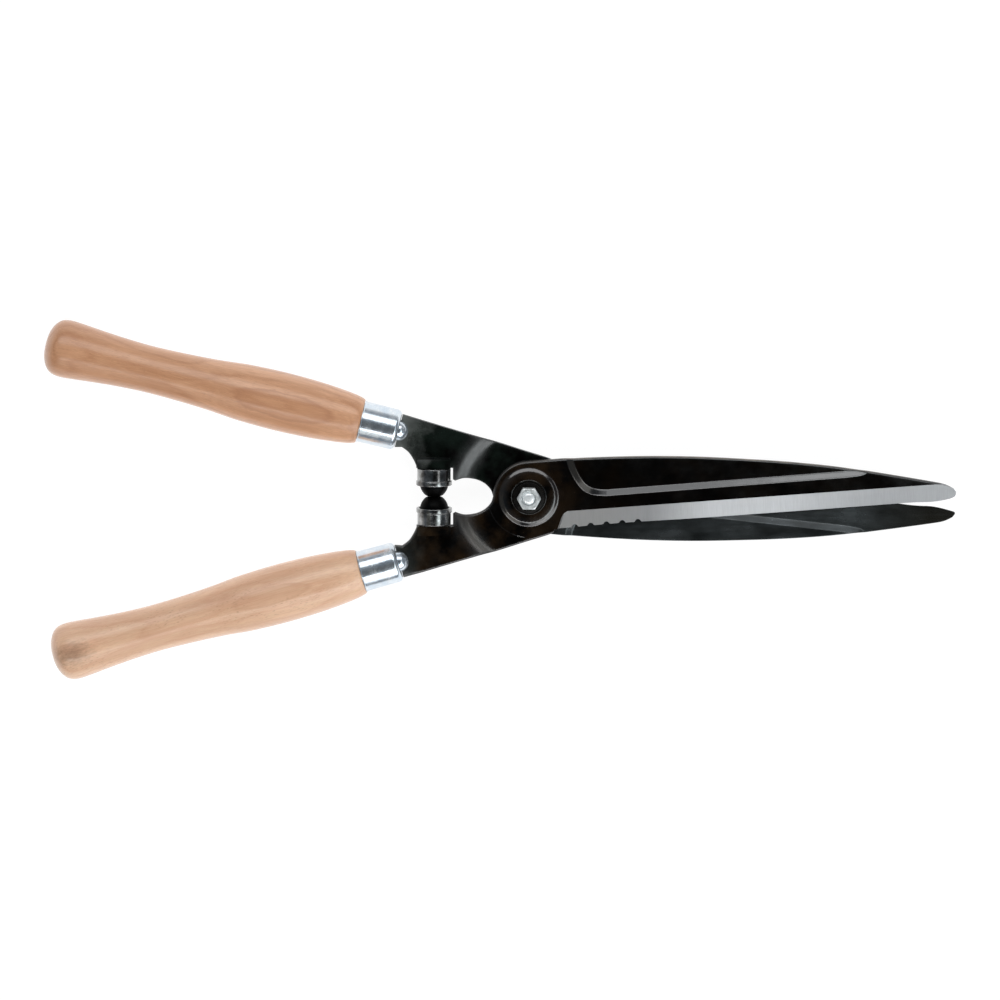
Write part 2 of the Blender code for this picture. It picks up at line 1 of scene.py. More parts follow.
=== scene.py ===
"""Looks for the hedge shears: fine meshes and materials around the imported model.

Shapes are in millimetres in a half's own frame, as in the design: the pivot's axis is Z, the blade
points along +X, the shank lies at -Y, and the outer face looks up. The rear half is turned over.
"""
import json
import math

import bmesh
import bpy
import numpy as np
from mathutils import Euler, Matrix, Vector
from mathutils.geometry import delaunay_2d_cdt


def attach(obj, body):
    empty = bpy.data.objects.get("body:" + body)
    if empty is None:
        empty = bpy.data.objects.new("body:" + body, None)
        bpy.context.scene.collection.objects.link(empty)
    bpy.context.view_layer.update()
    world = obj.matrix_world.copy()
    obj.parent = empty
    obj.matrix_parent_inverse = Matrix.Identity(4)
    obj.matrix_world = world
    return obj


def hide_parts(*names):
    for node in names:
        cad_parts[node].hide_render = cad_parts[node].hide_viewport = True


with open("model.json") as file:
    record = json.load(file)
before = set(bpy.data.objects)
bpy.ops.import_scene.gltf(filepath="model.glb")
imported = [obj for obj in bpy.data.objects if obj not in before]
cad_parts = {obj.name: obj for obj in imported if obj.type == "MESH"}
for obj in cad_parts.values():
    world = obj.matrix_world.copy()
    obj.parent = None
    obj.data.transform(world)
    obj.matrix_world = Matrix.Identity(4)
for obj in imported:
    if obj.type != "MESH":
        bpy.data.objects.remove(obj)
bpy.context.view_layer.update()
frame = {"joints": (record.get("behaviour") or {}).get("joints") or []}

MM = 0.001
PIVOT = Vector(frame["joints"][0]["pos_m"])

# Forged plate
PLATE = 4.0
HALF_GAP = 0.15  # from the shears' mid-plane to a head's inner face
HEAD_LEVEL = HALF_GAP + PLATE / 2
OUTER_FACE = HALF_GAP + PLATE
HEAD_RADIUS = 22.3
HEAD_ARC = (97, 174)  # the head's free edge, in degrees from the blade's direction
PIVOT_HOLE = 4.3
FIT_GAP = 0.3  # clearance between pieces that touch
EDGE_ROUND = 1.3  # rounding of the outer face's edges
INNER_ROUND = 0.35  # and of the inner face's
INNER_BARE_FROM = 8  # X from which the inner face is oiled steel and not lacquer
HEEL_FADE = 5  # the rounding fades out this near to the cutting edge's heel

# The shank drops to the mid-plane between two arcs round the pivot, centred on this bearing
JOGGLE_BEARING = 208.7
JOGGLE_START = 38.5
JOGGLE_END = 48.5
JOGGLE_REACH = 36.0  # degrees to each side of the bearing
JOGGLE_EASE = 0.42
JOGGLE_BENDS = 16  # creases that carry the drop
JOGGLE_MARGIN = 0.8  # the first and the last crease lie this far outside it
SHANK_BEYOND = 20  # this far along the bearing, everything is shank

# Wear of the lacquer
WEAR_REACH = 0.6  # it is worn thin this near to an edge,
WEAR_ALONG = [(5, 0.2), (30, 0.8), (140, 1.0), (190, 0.7), (250, 0.25)]  # by X along the back,
WEAR_ELSEWHERE = 0.10  # and less round the shank and the head
RIM_REACH = 1.2  # it is rougher this near to an edge

# Blade, from the heel to the tip
BACK_EDGE = [(19.5, 24.3), (42, 25.7), (72, 26.9), (102, 27.1), (132, 26.2), (162, 24.7),
             (192, 22.1), (222, 18.0), (252, 13.4), (260, 11.8)]
TIP = [(265.2, 9.4), (267, 6.6), (264.6, 3.2)]
CUTTING_EDGE = [(253, 0.6), (236, -0.4), (188.5, -4.7), (107, -11.9), (57, -15.9), (17, -20.2)]
EDGE_RISE_FROM = 188.5  # beyond here a half's "edge_rise" narrows its blade, in full by
EDGE_RISE_TO = 236.0  # here
NOTCH_FIRST = 29.2
NOTCH_PITCH = 9.85
NOTCH_COUNT = 5
NOTCH_RADIUS = 1.9
NOTCH_DEPTH = 1.75
NOTCH_SPAN = 2.5  # a notch and its burrs take up this much to each side

# Grind along the cutting edge
GRIND_AT = np.array((57, -5.55))  # a point on its upper line
GRIND_RISE = 0.0892  # the line's slope along the blade
GRIND_SLOPE = math.atan(GRIND_RISE)
GRIND_ALONG = np.array((math.cos(GRIND_SLOPE), math.sin(GRIND_SLOPE)))
GRIND_UP = np.array((-math.sin(GRIND_SLOPE), math.cos(GRIND_SLOPE)))
GRIND_WIDTH = 10.7
GRIND_DROP = 3.3
GRIND_START = 21.7  # X of its heel end, which leans by
GRIND_LEAN = 0.42  # this slope and is rounded into the upper line by
GRIND_CORNER = 2.6  # this much, within about
GRIND_CORNER_DEPTH = 1.1  # this depth
GRIND_RUN_OUT = 1.2  # it starts over this length
GRIND_END = 212  # past the tip, from GRIND_AT
GRIND_DEPTH = 15  # past the cutting edge, from the upper line

# Panel pressed outwards from the blade
PANEL_LEFT = [(21.7, 30), (23.7, 20), (27.8, 11.5), (33.0, 5), (40.0, 1.7), (49, 1.1)]
PANEL_RIGHT = [(196, 15.0), (204, 16.0), (210, 17.8), (214, 22.5)]
PANEL_HEIGHT = 2.0
PANEL_FLANK = 5.0
PANEL_EASE = 0.2
PANEL_CREASE = 0.5  # spacing of the creases that carry the flank

# Boss ring: height of the outer face against the distance from the pivot
RING = [(10.5, 0.0), (10.6, 1.3), (10.9, 1.47), (11.6, 1.5), (12.4, 1.48), (13.4, 1.40), (14.4, 1.30),
        (15.4, 1.17), (16.0, 1.06), (16.5, 0.92), (17.0, 0.70), (17.5, 0.45), (18.0, 0.23),
        (18.5, 0.08), (19.0, 0.015), (19.6, 0.0)]
RING_GUIDES = (9.6, 12.7, 13.7)  # more circles, so that the faces stay even

# Faint step behind the head
STEP_HEIGHT = 0.45
STEP_RADIUS = 25.3
STEP_WIDTH = 0.4
STEP_OUT = 38  # outwards it is gone by this radius,
STEP_OUT_WIDTH = 12  # having faded over this much
STEP_BEARINGS = (170, 268)
STEP_FADE = 25  # it fades towards the second bearing over this angle

# Shank
SHANK_OUTER = [(15.5, -22.3), (12, -24.1), (-3, -28.8), (-18, -33.6), (-48, -42.5), (-66, -47.9)]
EYE = [(-46, -10), (-40.5, -11.4), (-33, -10.5), (-27.4, -7.8), (-23.7, -3.8), (-22.3, 0.4)]
SEAT_Y = -18.0
SEAT_LEFT = -70.3
SEAT_RIGHT = -47.4
SEAT_STEP_Y = -10.9  # the seat's right end steps up to the eye
SHANK_CURVE = [(-70.3, -19.5), (-72.0, -23.2), (-75.0, -27.8), (-79.2, -31.2)]
LUG_CENTRE_X = -59.2
LUG_SIZE = (20.6, 6.0, 16.0)

# Handle axis: it passes through AXIS_AT, and the ferrule's face is FACE_OFFSET further on
AXIS_AT = np.array((-93.1, -44.4))
FACE_OFFSET = 12.0
SHANK_END = 10.6  # half the shank's width at the ferrule
TANG_ROOT = 6.0  # half the tang's width
TANG_SHOWN = 4.3  # only this much of the tang is drawn; the rest is inside the wood

# Ferrule and wood, measured from the ferrule's face
FERRULE_LENGTH = 24.0
FERRULE_WALL = 0.9
FERRULE_MOUTH = 13.3
FERRULE_SHOULDER = 12.7
SHOULDER_ROUND = 3.0
NOSE_RADIUS = 6.75
NOSE_HEIGHT = 6.5
SPIGOT_START = 4.5
HANDLE_LENGTH = 201.4
# radius of the wood against the distance from the wood's shoulder
HANDLE_SHAPE = [(0.0, 13.5), (0.7, 14.1), (2.5, 14.7), (6.0, 15.45), (14.0, 16.5), (30.0, 17.8),
                (52.0, 18.38), (75.0, 17.7), (94.0, 16.0), (115.0, 14.9), (135.0, 14.5),
                (152.0, 15.1), (168.0, 16.3), (181.0, 17.5), (188.5, 17.95), (193.5, 17.15),
                (196.8, 15.0), (199.2, 11.5), (200.7, 7.0), (HANDLE_LENGTH, 0.0)]
BUTT_AT = 0.226  # metres from the ferrule's face, past the end of the wood

# Buffer, measured from its seat towards the other half
CUP_RADIUS = 10.5
CUP_RIM_RADIUS = 11.2
CUP_RIM_START = 8.2
CUP_HEIGHT = 10.9
CUP_WALL = 1.0
CUP_BASE = 1.5
RUBBER_RADIUS = 8.7
RUBBER_TOP = -SEAT_Y - HALF_GAP
RUBBER_DOME = [(4.0, RUBBER_TOP), (5.7, 17.0), (7.1, 15.4), (8.2, 13.5), (RUBBER_RADIUS, 11.8)]
RUBBER_POCKET = 4.8  # height of the pocket over the screw's head
SCREW_RADIUS = 2.0
SCREW_HEAD = 4.0
SCREW_DEPTH = 4.6

# Pivot stack
BOLT_RADIUS = 4.0
BOLT_HEAD_RADIUS = 8.5
BOLT_HEAD_HEIGHT = 4.2
FLAT_WASHER = 0.9
FLAT_WASHER_RADIUS = 10.1
SPRING_WASHER = 1.2
SPRING_WASHER_RADIUS = 9.4
NUT_ACROSS_FLATS = 13.0
NUT_HEIGHT = 6.5
NUT_OVER_BOLT = 1.0  # the bolt's side ends this far below the nut's top
CONE_RISE = 0.4  # height of the spring washer's cone
NUT_BASE = OUTER_FACE + FLAT_WASHER + SPRING_WASHER + 3 * FIT_GAP

HALVES = {
    "front": {"turned": 0.0, "splay": 15.5, "blade_set": -0.9, "edge_rise": 0.0, "notched": True},
    "rear": {"turned": 180.0, "splay": 13.9, "blade_set": 0.9, "edge_rise": 2.0, "notched": False},
}

# Camera and studio, in metres and degrees
FRAME_WIDTH = 0.6257  # what the picture takes in at the shears
CAMERA_AIM = (-18.0, -2.4, 0)  # from the pivot, in millimetres
CAMERA_TILT = -8
CAMERA_LENS = 135
SENSOR_WIDTH = 36
FLOOR_HALF = 3
FLOOR_DROP = 0.0004
OVERHEAD = (0.15, -0.138, 0.979)  # the blades' flat faces reflect this dark part of the studio
# the studio's tone from its horizon to that part
SKY = [(0.0, (0.50, 0.50, 0.50)), (0.22, (0.16, 0.17, 0.19)), (0.60, (0.11, 0.125, 0.14)),
       (0.90, (0.07, 0.085, 0.10)), (0.945, (0.030, 0.033, 0.036)), (0.97, (0.004, 0.004, 0.004))]
# name, azimuth (0 is +X, 90 is +Y), angle from the zenith, distance, size, radiance, colour
SOFTBOXES = [
    ("key", 90, 42, 1.5, (0.75, 1.9), 2.2, (0.985, 0.995, 1.0)),
    ("fill_right", -60, 49, 1.5, (1.0, 1.3), 1.6, (0.97, 0.985, 1.0)),
    ("fill_core", -52, 61, 1.5, (0.36, 1.1), 1.5, (0.97, 0.985, 1.0)),
    ("fill_left", -120, 48, 1.5, (0.9, 0.7), 0.9, (1.0, 0.97, 0.90)),
    ("side", -36, 34, 1.5, (0.5, 0.7), 1.9, (0.88, 0.99, 1.0)),
    ("right", 0, 32, 1.6, (0.34, 0.7), 1.1, (1.0, 1.0, 1.0)),
    ("left", 211, 42, 1.6, (0.8, 0.9), 0.08, (1.0, 0.86, 0.55)),
    ("strip", -95, 33, 1.5, (0.09, 1.3), 6.0, (1.0, 1.0, 1.0)),
]


# -------------------- paths

def polar(radius, degrees):
    return np.array((radius * math.cos(math.radians(degrees)),
                     radius * math.sin(math.radians(degrees))))


def arc(radius, start, end, step=2.0):
    count = max(1, round(abs(end - start) / step))
    return np.array([polar(radius, start + (end - start) * i / count) for i in range(count + 1)])


def smooth(points, steps=8):
    """A Catmull-Rom curve through the points."""
    points = np.array(points, float)
    path = []
    for i in range(len(points) - 1):
        start, end = points[i], points[i + 1]
        enter = (end - points[max(i - 1, 0)]) / 2
        leave = (points[min(i + 2, len(points) - 1)] - start) / 2
        for s in range(steps):
            t = s / steps
            path.append(start * (2 * t**3 - 3 * t**2 + 1) + enter * (t**3 - 2 * t**2 + t)
                        + end * (3 * t**2 - 2 * t**3) + leave * (t**3 - t**2))
    return np.array(path + [points[-1]])


def turn(points, degrees):
    c, s = math.cos(math.radians(degrees)), math.sin(math.radians(degrees))
    return np.atleast_2d(points) @ np.array([[c, s], [-s, c]])


def offset(path, distance):
    """The path moved to its left."""
    along = np.gradient(path, axis=0)
    along /= np.linalg.norm(along, axis=1)[:, None]
    return path + distance * np.column_stack((-along[:, 1], along[:, 0]))


def depth_inside(points, path):
    """Distance of each point from the path, positive on the path's left."""
    best = np.full(len(points), np.inf)
    side = np.zeros(len(points))
    for start, end in zip(path[:-1], path[1:]):
        along = end - start
        relative = points - start
        t = np.clip(relative @ along / max(along @ along, 1e-12), 0, 1)
        away = relative - t[:, None] * along
        distance = np.hypot(away[:, 0], away[:, 1])
        nearer = distance < best - 1e-9
        best[nearer] = distance[nearer]
        side[nearer] = (along[0] * away[:, 1] - along[1] * away[:, 0])[nearer]
    return np.copysign(best, side)


def contains(path, points):
    """Whether each point lies inside the closed path."""
    inside = np.zeros(len(points), bool)
    x, y = points[:, 0], points[:, 1]
    for (x0, y0), (x1, y1) in zip(path, np.roll(path, -1, axis=0)):
        spans = (y0 > y) != (y1 > y)
        if y0 != y1:
            inside ^= spans & (x < (x1 - x0) * (y - y0) / (y1 - y0) + x0)
    return inside


def ramp(t, ease=0.12):
    """Rises from 0 to 1 as a straight slope with eased ends."""
    t = np.clip(t, 0, 1)
    low = t * t / (2 * ease * (1 - ease))
    high = 1 - (1 - t)**2 / (2 * ease * (1 - ease))
    middle = (t - ease / 2) / (1 - ease)
    return np.where(t < ease, low, np.where(t > 1 - ease, high, middle))


def fillet(profile, radius, steps=4, closed=False):
    """The profile with its corners rounded."""
    points = [np.array(p, float) for p in profile]
    count = len(points)
    rounded = []
    for i, corner in enumerate(points):
        if not closed and i in (0, count - 1):
            rounded.append(corner)
            continue
        before, after = points[i - 1] - corner, points[(i + 1) % count] - corner
        reach_before, reach_after = np.linalg.norm(before), np.linalg.norm(after)
        before, after = before / reach_before, after / reach_after
        angle = math.acos(max(-1.0, min(1.0, float(before @ after))))
        if angle > math.radians(165):
            rounded.append(corner)
            continue
        cut = min(radius / math.tan(angle / 2), 0.45 * reach_before, 0.45 * reach_after)
        start, end = corner + before * cut, corner + after * cut
        for s in range(steps + 1):
            t = s / steps
            rounded.append(start * (1 - t)**2 + corner * 2 * t * (1 - t) + end * t * t)
    return rounded


# -------------------- objects

def new_object(name, data):
    obj = bpy.data.objects.new(name, data)
    bpy.context.scene.collection.objects.link(obj)
    return obj


def add_piece(name, mesh, half, replaced, slot, *finishes):
    """A mesh in a half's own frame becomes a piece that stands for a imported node."""
    obj = new_object(name, mesh)
    turned = Matrix.Rotation(math.radians(HALVES[half]["turned"]), 4, "X")
    obj.matrix_world = Matrix.Translation(PIVOT) @ turned
    for index, finish in enumerate(finishes):
        if index < len(mesh.materials):
            mesh.materials[index] = finish
        else:
            mesh.materials.append(finish)
    bpy.context.view_layer.update()
    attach(obj, half + "_half")
    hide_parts(replaced)
    return obj


def put(mesh, place, spin=(0, 0, 0)):
    """Moves a mesh from its own axis into the half's frame."""
    turn_by = Euler([math.radians(angle) for angle in spin]).to_matrix().to_4x4()
    mesh.transform(Matrix.Translation(Vector(place) * MM) @ turn_by)
    return mesh


def mark_sharp(mesh, angle=30.0):
    """Smooth faces, with sharp edges at corners and where the finish changes."""
    bm = bmesh.new()
    bm.from_mesh(mesh)
    limit = math.radians(angle)
    for face in bm.faces:
        face.smooth = True
    for edge in bm.edges:
        faces = edge.link_faces
        if len(faces) == 2:
            changes = faces[0].material_index != faces[1].material_index
            edge.smooth = not changes and edge.calc_face_angle(0) < limit
    bm.to_mesh(mesh)
    bm.free()


def lathe_mesh(name, profile, steps=96, closed=False, angle=32.0):
    """A solid turned about Z from (radius, height) points, listed down the outer side."""
    rings = []
    verts = []
    for radius, height in profile:
        if radius < 1e-6:
            rings.append([len(verts)] * steps)
            verts.append((0, 0, height * MM))
            continue
        rings.append(list(range(len(verts), len(verts) + steps)))
        for k in range(steps):
            a = 2 * math.pi * k / steps
            verts.append((radius * math.cos(a) * MM, radius * math.sin(a) * MM, height * MM))
    pairs = list(zip(rings, rings[1:]))
    if closed:
        pairs.append((rings[-1], rings[0]))
    faces = []
    for upper, lower in pairs:
        for k in range(steps):
            n = (k + 1) % steps
            loop = [upper[k], lower[k], lower[n], upper[n]]
            faces.append(list(dict.fromkeys(loop)))
    mesh = bpy.data.meshes.new(name)
    mesh.from_pydata(verts, [], faces)
    mark_sharp(mesh, angle)
    return mesh


def cut_mesh(mesh, tools, operation="DIFFERENCE", angle=32.0):
    """The mesh after boolean operations with tool meshes given in its own frame."""
    obj = new_object("work", mesh)
    guides = [new_object("guide", tool) for tool in tools]
    for guide in guides:
        modifier = obj.modifiers.new("boolean", "BOOLEAN")
        modifier.object = guide
        modifier.operation = operation
    depsgraph = bpy.context.evaluated_depsgraph_get()
    result = bpy.data.meshes.new_from_object(obj.evaluated_get(depsgraph))
    for item in [obj] + guides:
        bpy.data.objects.remove(item)
    mark_sharp(result, angle)
    return result


def box_mesh(size, centre=(0, 0, 0), bevel=0.0):
    mesh = bpy.data.meshes.new("box")
    bm = bmesh.new()
    bmesh.ops.create_cube(bm, size=MM)
    bmesh.ops.scale(bm, vec=size, verts=bm.verts)
    if bevel:
        bmesh.ops.bevel(bm, geom=bm.edges, offset=bevel * MM, segments=4, profile=0.5,
                        affect="EDGES")
    bmesh.ops.translate(bm, vec=Vector(centre) * MM, verts=bm.verts)
    bm.to_mesh(mesh)
    bm.free()
    return mesh


# -------------------- forging

def along_axis(splay, distance, aside=0.0):
    """A point by its distance from AXIS_AT towards the pivot, and its offset to the left."""
    return AXIS_AT + polar(distance, splay) + polar(aside, splay + 90)


def cutting_edge(spec):
    """From the heel to the tip, with round notches near the heel on the notched blade."""
    points = np.array(CUTTING_EDGE[::-1] + TIP[::-1], float)
    share = np.clip((points[:, 0] - EDGE_RISE_FROM) / (EDGE_RISE_TO - EDGE_RISE_FROM), 0, 1)
    share[-2:] = 0              # the tip's own two points stay
    points[:, 1] += spec["edge_rise"] * share
    edge = smooth(points)
    if not spec["notched"]:
        return turn(edge, spec["blade_set"])
    plain = edge[edge[:, 0] < NOTCH_FIRST + NOTCH_COUNT * NOTCH_PITCH]
    along = np.array((1.0, 0.09)) * NOTCH_SPAN
    for i in range(NOTCH_COUNT):
        x = NOTCH_FIRST + i * NOTCH_PITCH
        foot = np.array((x, np.interp(x, plain[:, 0], plain[:, 1])))
        centre = foot + (0, NOTCH_DEPTH - NOTCH_RADIUS)
        bite = [foot - along, foot + (-2.1, 0.02), foot + (-1.8, 0.42)]
        bite += list(arc(NOTCH_RADIUS, 160, 20, 10) + centre)
        bite += [foot + (1.8, 0.60), foot + (2.1, 0.32), foot + along]
        before = [p for p in edge if p[0] < x - NOTCH_SPAN]
        after = [p for p in edge if p[0] > x + NOTCH_SPAN]
        edge = np.array(before + bite + after)
    return turn(edge, spec["blade_set"])


def rounded_outline(spec):
    """The rest of the outline, anticlockwise from the tip to the heel."""
    splay = spec["splay"]
    back = turn(smooth([TIP[0]] + list(reversed(BACK_EDGE))), spec["blade_set"])
    end = FACE_OFFSET + FIT_GAP
    tang = [along_axis(splay, end, SHANK_END), along_axis(splay, end, TANG_ROOT),
            along_axis(splay, end - TANG_SHOWN, TANG_ROOT),
            along_axis(splay, end - TANG_SHOWN, -TANG_ROOT),
            along_axis(splay, end, -TANG_ROOT), along_axis(splay, end, -SHANK_END)]
    seat = [(SEAT_RIGHT, SEAT_STEP_Y), (SEAT_RIGHT, SEAT_Y), (SEAT_LEFT, SEAT_Y)]
    outer = smooth(list(reversed(SHANK_OUTER)), 6)
    return np.vstack((back[1:], arc(HEAD_RADIUS, *HEAD_ARC), smooth(EYE[::-1]), seat,
                      smooth(SHANK_CURVE, 6), tang, outer))


def grind_start(below):
    """Where the grind begins, along its upper line from GRIND_AT, at a depth below that line."""
    return (GRIND_START - GRIND_AT[0] - GRIND_LEAN * below
            + GRIND_CORNER * np.exp(-below / GRIND_CORNER_DEPTH))


def grind_depth(points, spec):
    """Distance below the grind's upper line, and past its heel end, in the plan."""
    local = turn(points, -spec["blade_set"]) - GRIND_AT
    below = -(local @ GRIND_UP)
    return below, local @ GRIND_ALONG - grind_start(below)


def grind_lines(spec):
    """The grind's upper line and the lines over which it runs out at the heel."""
    lines = [GRIND_AT + np.outer(np.linspace(grind_start(0.0), GRIND_END, 60), GRIND_ALONG)]
    below = np.linspace(0, GRIND_DEPTH, 40)
    for share in (0.0, 0.5, 1.0):
        start = grind_start(below) + share * GRIND_RUN_OUT
        lines.append(GRIND_AT + np.outer(start, GRIND_ALONG) - np.outer(below, GRIND_UP))
    return [turn(line, spec["blade_set"]) for line in lines]


def edge_drop(distance, radius):
    """How far a rounded edge has fallen at a distance inside the outline."""
    inner = np.clip(radius - np.maximum(distance, 0), 0, radius)
    return radius - np.sqrt(radius**2 - inner**2)


def head_step(points, radius):
    """Depth of the faint step behind the head."""
    bearing = np.degrees(np.arctan2(points[:, 1], points[:, 0])) % 360
    first, last = STEP_BEARINGS
    round_head = np.clip((last - bearing) / STEP_FADE, 0, 1) * (bearing > first)
    outwards = (np.clip((radius - STEP_RADIUS) / STEP_WIDTH, 0, 1)
                * np.clip((STEP_OUT - radius) / STEP_OUT_WIDTH, 0, 1))
    return STEP_HEIGHT * round_head * outwards


def forging_heights(points, spec, guard, foot):
    """Heights of the outer and the inner face over the mid-plane, and the distance from a rounded edge."""
    radius = np.hypot(points[:, 0], points[:, 1])
    from_heel = np.hypot(*(points - guard[-1]).T)
    inside = np.abs(depth_inside(points, guard)) / np.clip(from_heel / HEEL_FADE, 0.05, 1)
    down = np.where(points @ polar(1.0, JOGGLE_BEARING) > SHANK_BEYOND, radius, 0)
    level = HEAD_LEVEL * (1 - ramp((down - JOGGLE_START) / (JOGGLE_END - JOGGLE_START), JOGGLE_EASE))
    panel = PANEL_HEIGHT * ramp(depth_inside(points, foot) / PANEL_FLANK, PANEL_EASE)
    outer = level + panel + PLATE / 2 - edge_drop(inside, EDGE_ROUND)
    inner = level + panel - PLATE / 2 + edge_drop(inside, INNER_ROUND)
    ring_radius, ring_height = np.array(RING).T
    outer += np.interp(radius, ring_radius, ring_height, left=0, right=0)
    outer -= head_step(points, radius)
    below, past = grind_depth(points, spec)
    cut = below * GRIND_DROP / GRIND_WIDTH * np.clip(past / GRIND_RUN_OUT, 0, 1)
    ground = np.where((below > 0) & (past > 0), OUTER_FACE - cut, np.inf)
    return np.minimum(outer, ground), inner, inside


def circle(radius, count=96):
    return [polar(radius, 360 * k / count) for k in range(count)]


def forging_creases(spec, guard, foot):
    """Open lines in the plan that the faces follow: the panel's flank, the rounded edges, the joggle,
    the step behind the head and the grind."""
    flank = np.arange(-PANEL_CREASE, PANEL_FLANK + 2 * PANEL_CREASE, PANEL_CREASE)
    bends = np.linspace(JOGGLE_START - JOGGLE_MARGIN, JOGGLE_END + JOGGLE_MARGIN, JOGGLE_BENDS)
    lines = [offset(foot, distance) for distance in flank]
    lines += [offset(guard, distance) for distance in (0.1, 0.3, 0.6, 0.95, EDGE_ROUND, 2.0)]
    lines += [arc(r, JOGGLE_BEARING - JOGGLE_REACH, JOGGLE_BEARING + JOGGLE_REACH) for r in bends]
    lines += [arc(r, 180, 300) for r in (24.8, STEP_RADIUS, 25.5, 25.7, 26.1)]
    lines += [arc(r, 170, 300) for r in (30.0, 34.0)]
    return lines + grind_lines(spec)


def forging_loops(half):
    """Closed lines in the plan: the boss ring's circles and the pivot hole, square in the rear head."""
    loops = [circle(r) for r, _ in RING] + [circle(r) for r in RING_GUIDES]
    h = PIVOT_HOLE
    if half == "rear":
        return loops + [[np.array(p) for p in ((h, -h), (h, h), (-h, h), (-h, -h))]]
    return loops + [circle(h, 48)]


def forging_mesh(half, spec):
    """One CDT of the outline and its creases, raised to the outer and the inner face."""
    edge = cutting_edge(spec)
    rounded = rounded_outline(spec)
    outline = np.vstack((edge, rounded))
    foot = turn(np.vstack((smooth(PANEL_LEFT), smooth(PANEL_RIGHT))), spec["blade_set"])
    guard = np.vstack(([edge[-1]], rounded, [edge[0]]))
    points = [Vector(p) for p in outline]
    edges = []
    for crease in forging_creases(spec, guard, foot):
        edges += [(len(points) + i, len(points) + i + 1) for i in range(len(crease) - 1)]
        points += [Vector(p) for p in crease]
    for loop in forging_loops(half):
        n = len(loop)
        edges += [(len(points) + i, len(points) + (i + 1) % n) for i in range(n)]
        points += [Vector(p) for p in loop]
    flat, _, faces, _, _, _ = delaunay_2d_cdt(points, edges, [list(range(len(outline)))], 1, 0.002)
    flat = np.array([tuple(p) for p in flat])
    faces = keep_faces(flat, faces, outline, half)
    outer, inner, inside = forging_heights(flat, spec, guard, foot)
    return thick_mesh(half + "_forging", flat, faces, outer, inner, inside, spec, edge)


def keep_faces(flat, faces, outline, half):
    """Drops slivers outside the outline and the faces over the pivot hole."""
    centres = np.array([flat[list(face)].mean(axis=0) for face in faces])
    if half == "rear":
        in_hole = np.abs(centres).max(axis=1) < PIVOT_HOLE
    else:
        in_hole = np.hypot(*centres.T) < PIVOT_HOLE - 0.01
    good = contains(outline, centres) & ~in_hole
    return [tuple(face) for face, kept in zip(faces, good) if kept]


def thick_mesh(name, flat, faces, outer, inner, inside, spec, edge):
    """Outer faces, inner faces and a wall round the boundary. Finishes: 0 lacquer, 1 ground, 2 inner."""
    used = sorted({i for face in faces for i in face})
    index = {old: new for new, old in enumerate(used)}
    count = len(used)
    verts = [(flat[i][0] * MM, flat[i][1] * MM, outer[i] * MM) for i in used]
    verts += [(flat[i][0] * MM, flat[i][1] * MM, inner[i] * MM) for i in used]
    centres = np.array([flat[list(face)].mean(axis=0) for face in faces])
    below, past = grind_depth(centres, spec)
    top = [tuple(index[i] for i in face) for face in faces]
    finish = [1 if b > 0 and p > 0 else 0 for b, p in zip(below, past)]
    bottom = [tuple(i + count for i in reversed(face)) for face in top]
    finish += [2 if centre[0] > INNER_BARE_FROM else 0 for centre in centres]
    sides = {side for face in top for side in zip(face, face[1:] + face[:1])}
    walls = [(b, a) for face in top for a, b in zip(face, face[1:] + face[:1]) if (b, a) not in sides]
    rim = [(a, b, b + count, a + count) for a, b in walls]
    middle = np.array([(flat[used[a]] + flat[used[b]]) / 2 for a, b in walls])
    finish += [1 if flag else 0 for flag in np.abs(depth_inside(middle, edge)) < 0.05]
    mesh = bpy.data.meshes.new(name)
    mesh.from_pydata(verts, [], top + bottom + rim)
    mesh.polygons.foreach_set("material_index", finish)
    add_wear(mesh, flat[used], inside[used])
    return mesh


def add_wear(mesh, points, inside):
    """How worn and how rough the lacquer is near the edges, at half strength on the inner face."""
    x, y = points.T
    along_back = (y > 0) * np.interp(x, *np.array(WEAR_ALONG).T)
    wear = np.exp(-(inside / WEAR_REACH)**2) * np.maximum(along_back, WEAR_ELSEWHERE)
    rim = np.exp(-(inside / RIM_REACH)**2)
    for title, values in (("wear", wear), ("rim", rim)):
        attribute = mesh.attributes.new(title, "FLOAT", "POINT")
        attribute.data.foreach_set("value", np.concatenate((values, 0.5 * values)))


def build_forging(half, spec, finishes):
    lug = box_mesh(LUG_SIZE, (LUG_CENTRE_X, SEAT_Y - LUG_SIZE[1] / 2, 0))
    for title in ("wear", "rim"):
        lug.attributes.new(title, "FLOAT", "POINT")     # zero: the lug isn't worn
    steels = [finishes[half + "_lacquer"], finishes["ground_steel"], finishes["inner_steel"]]
    mesh = forging_mesh(half, spec)
    for steel in steels:
        mesh.materials.append(steel)
    mesh = cut_mesh(mesh, [lug], "UNION", 30.0)
    obj = add_piece(half + "_forging", mesh, half, half + "_blade", "black_steel", *steels)
    even_normals = obj.modifiers.new("even_normals", "WEIGHTED_NORMAL")
    even_normals.keep_sharp = True
    even_normals.weight = 90


# -------------------- ferrule and handle

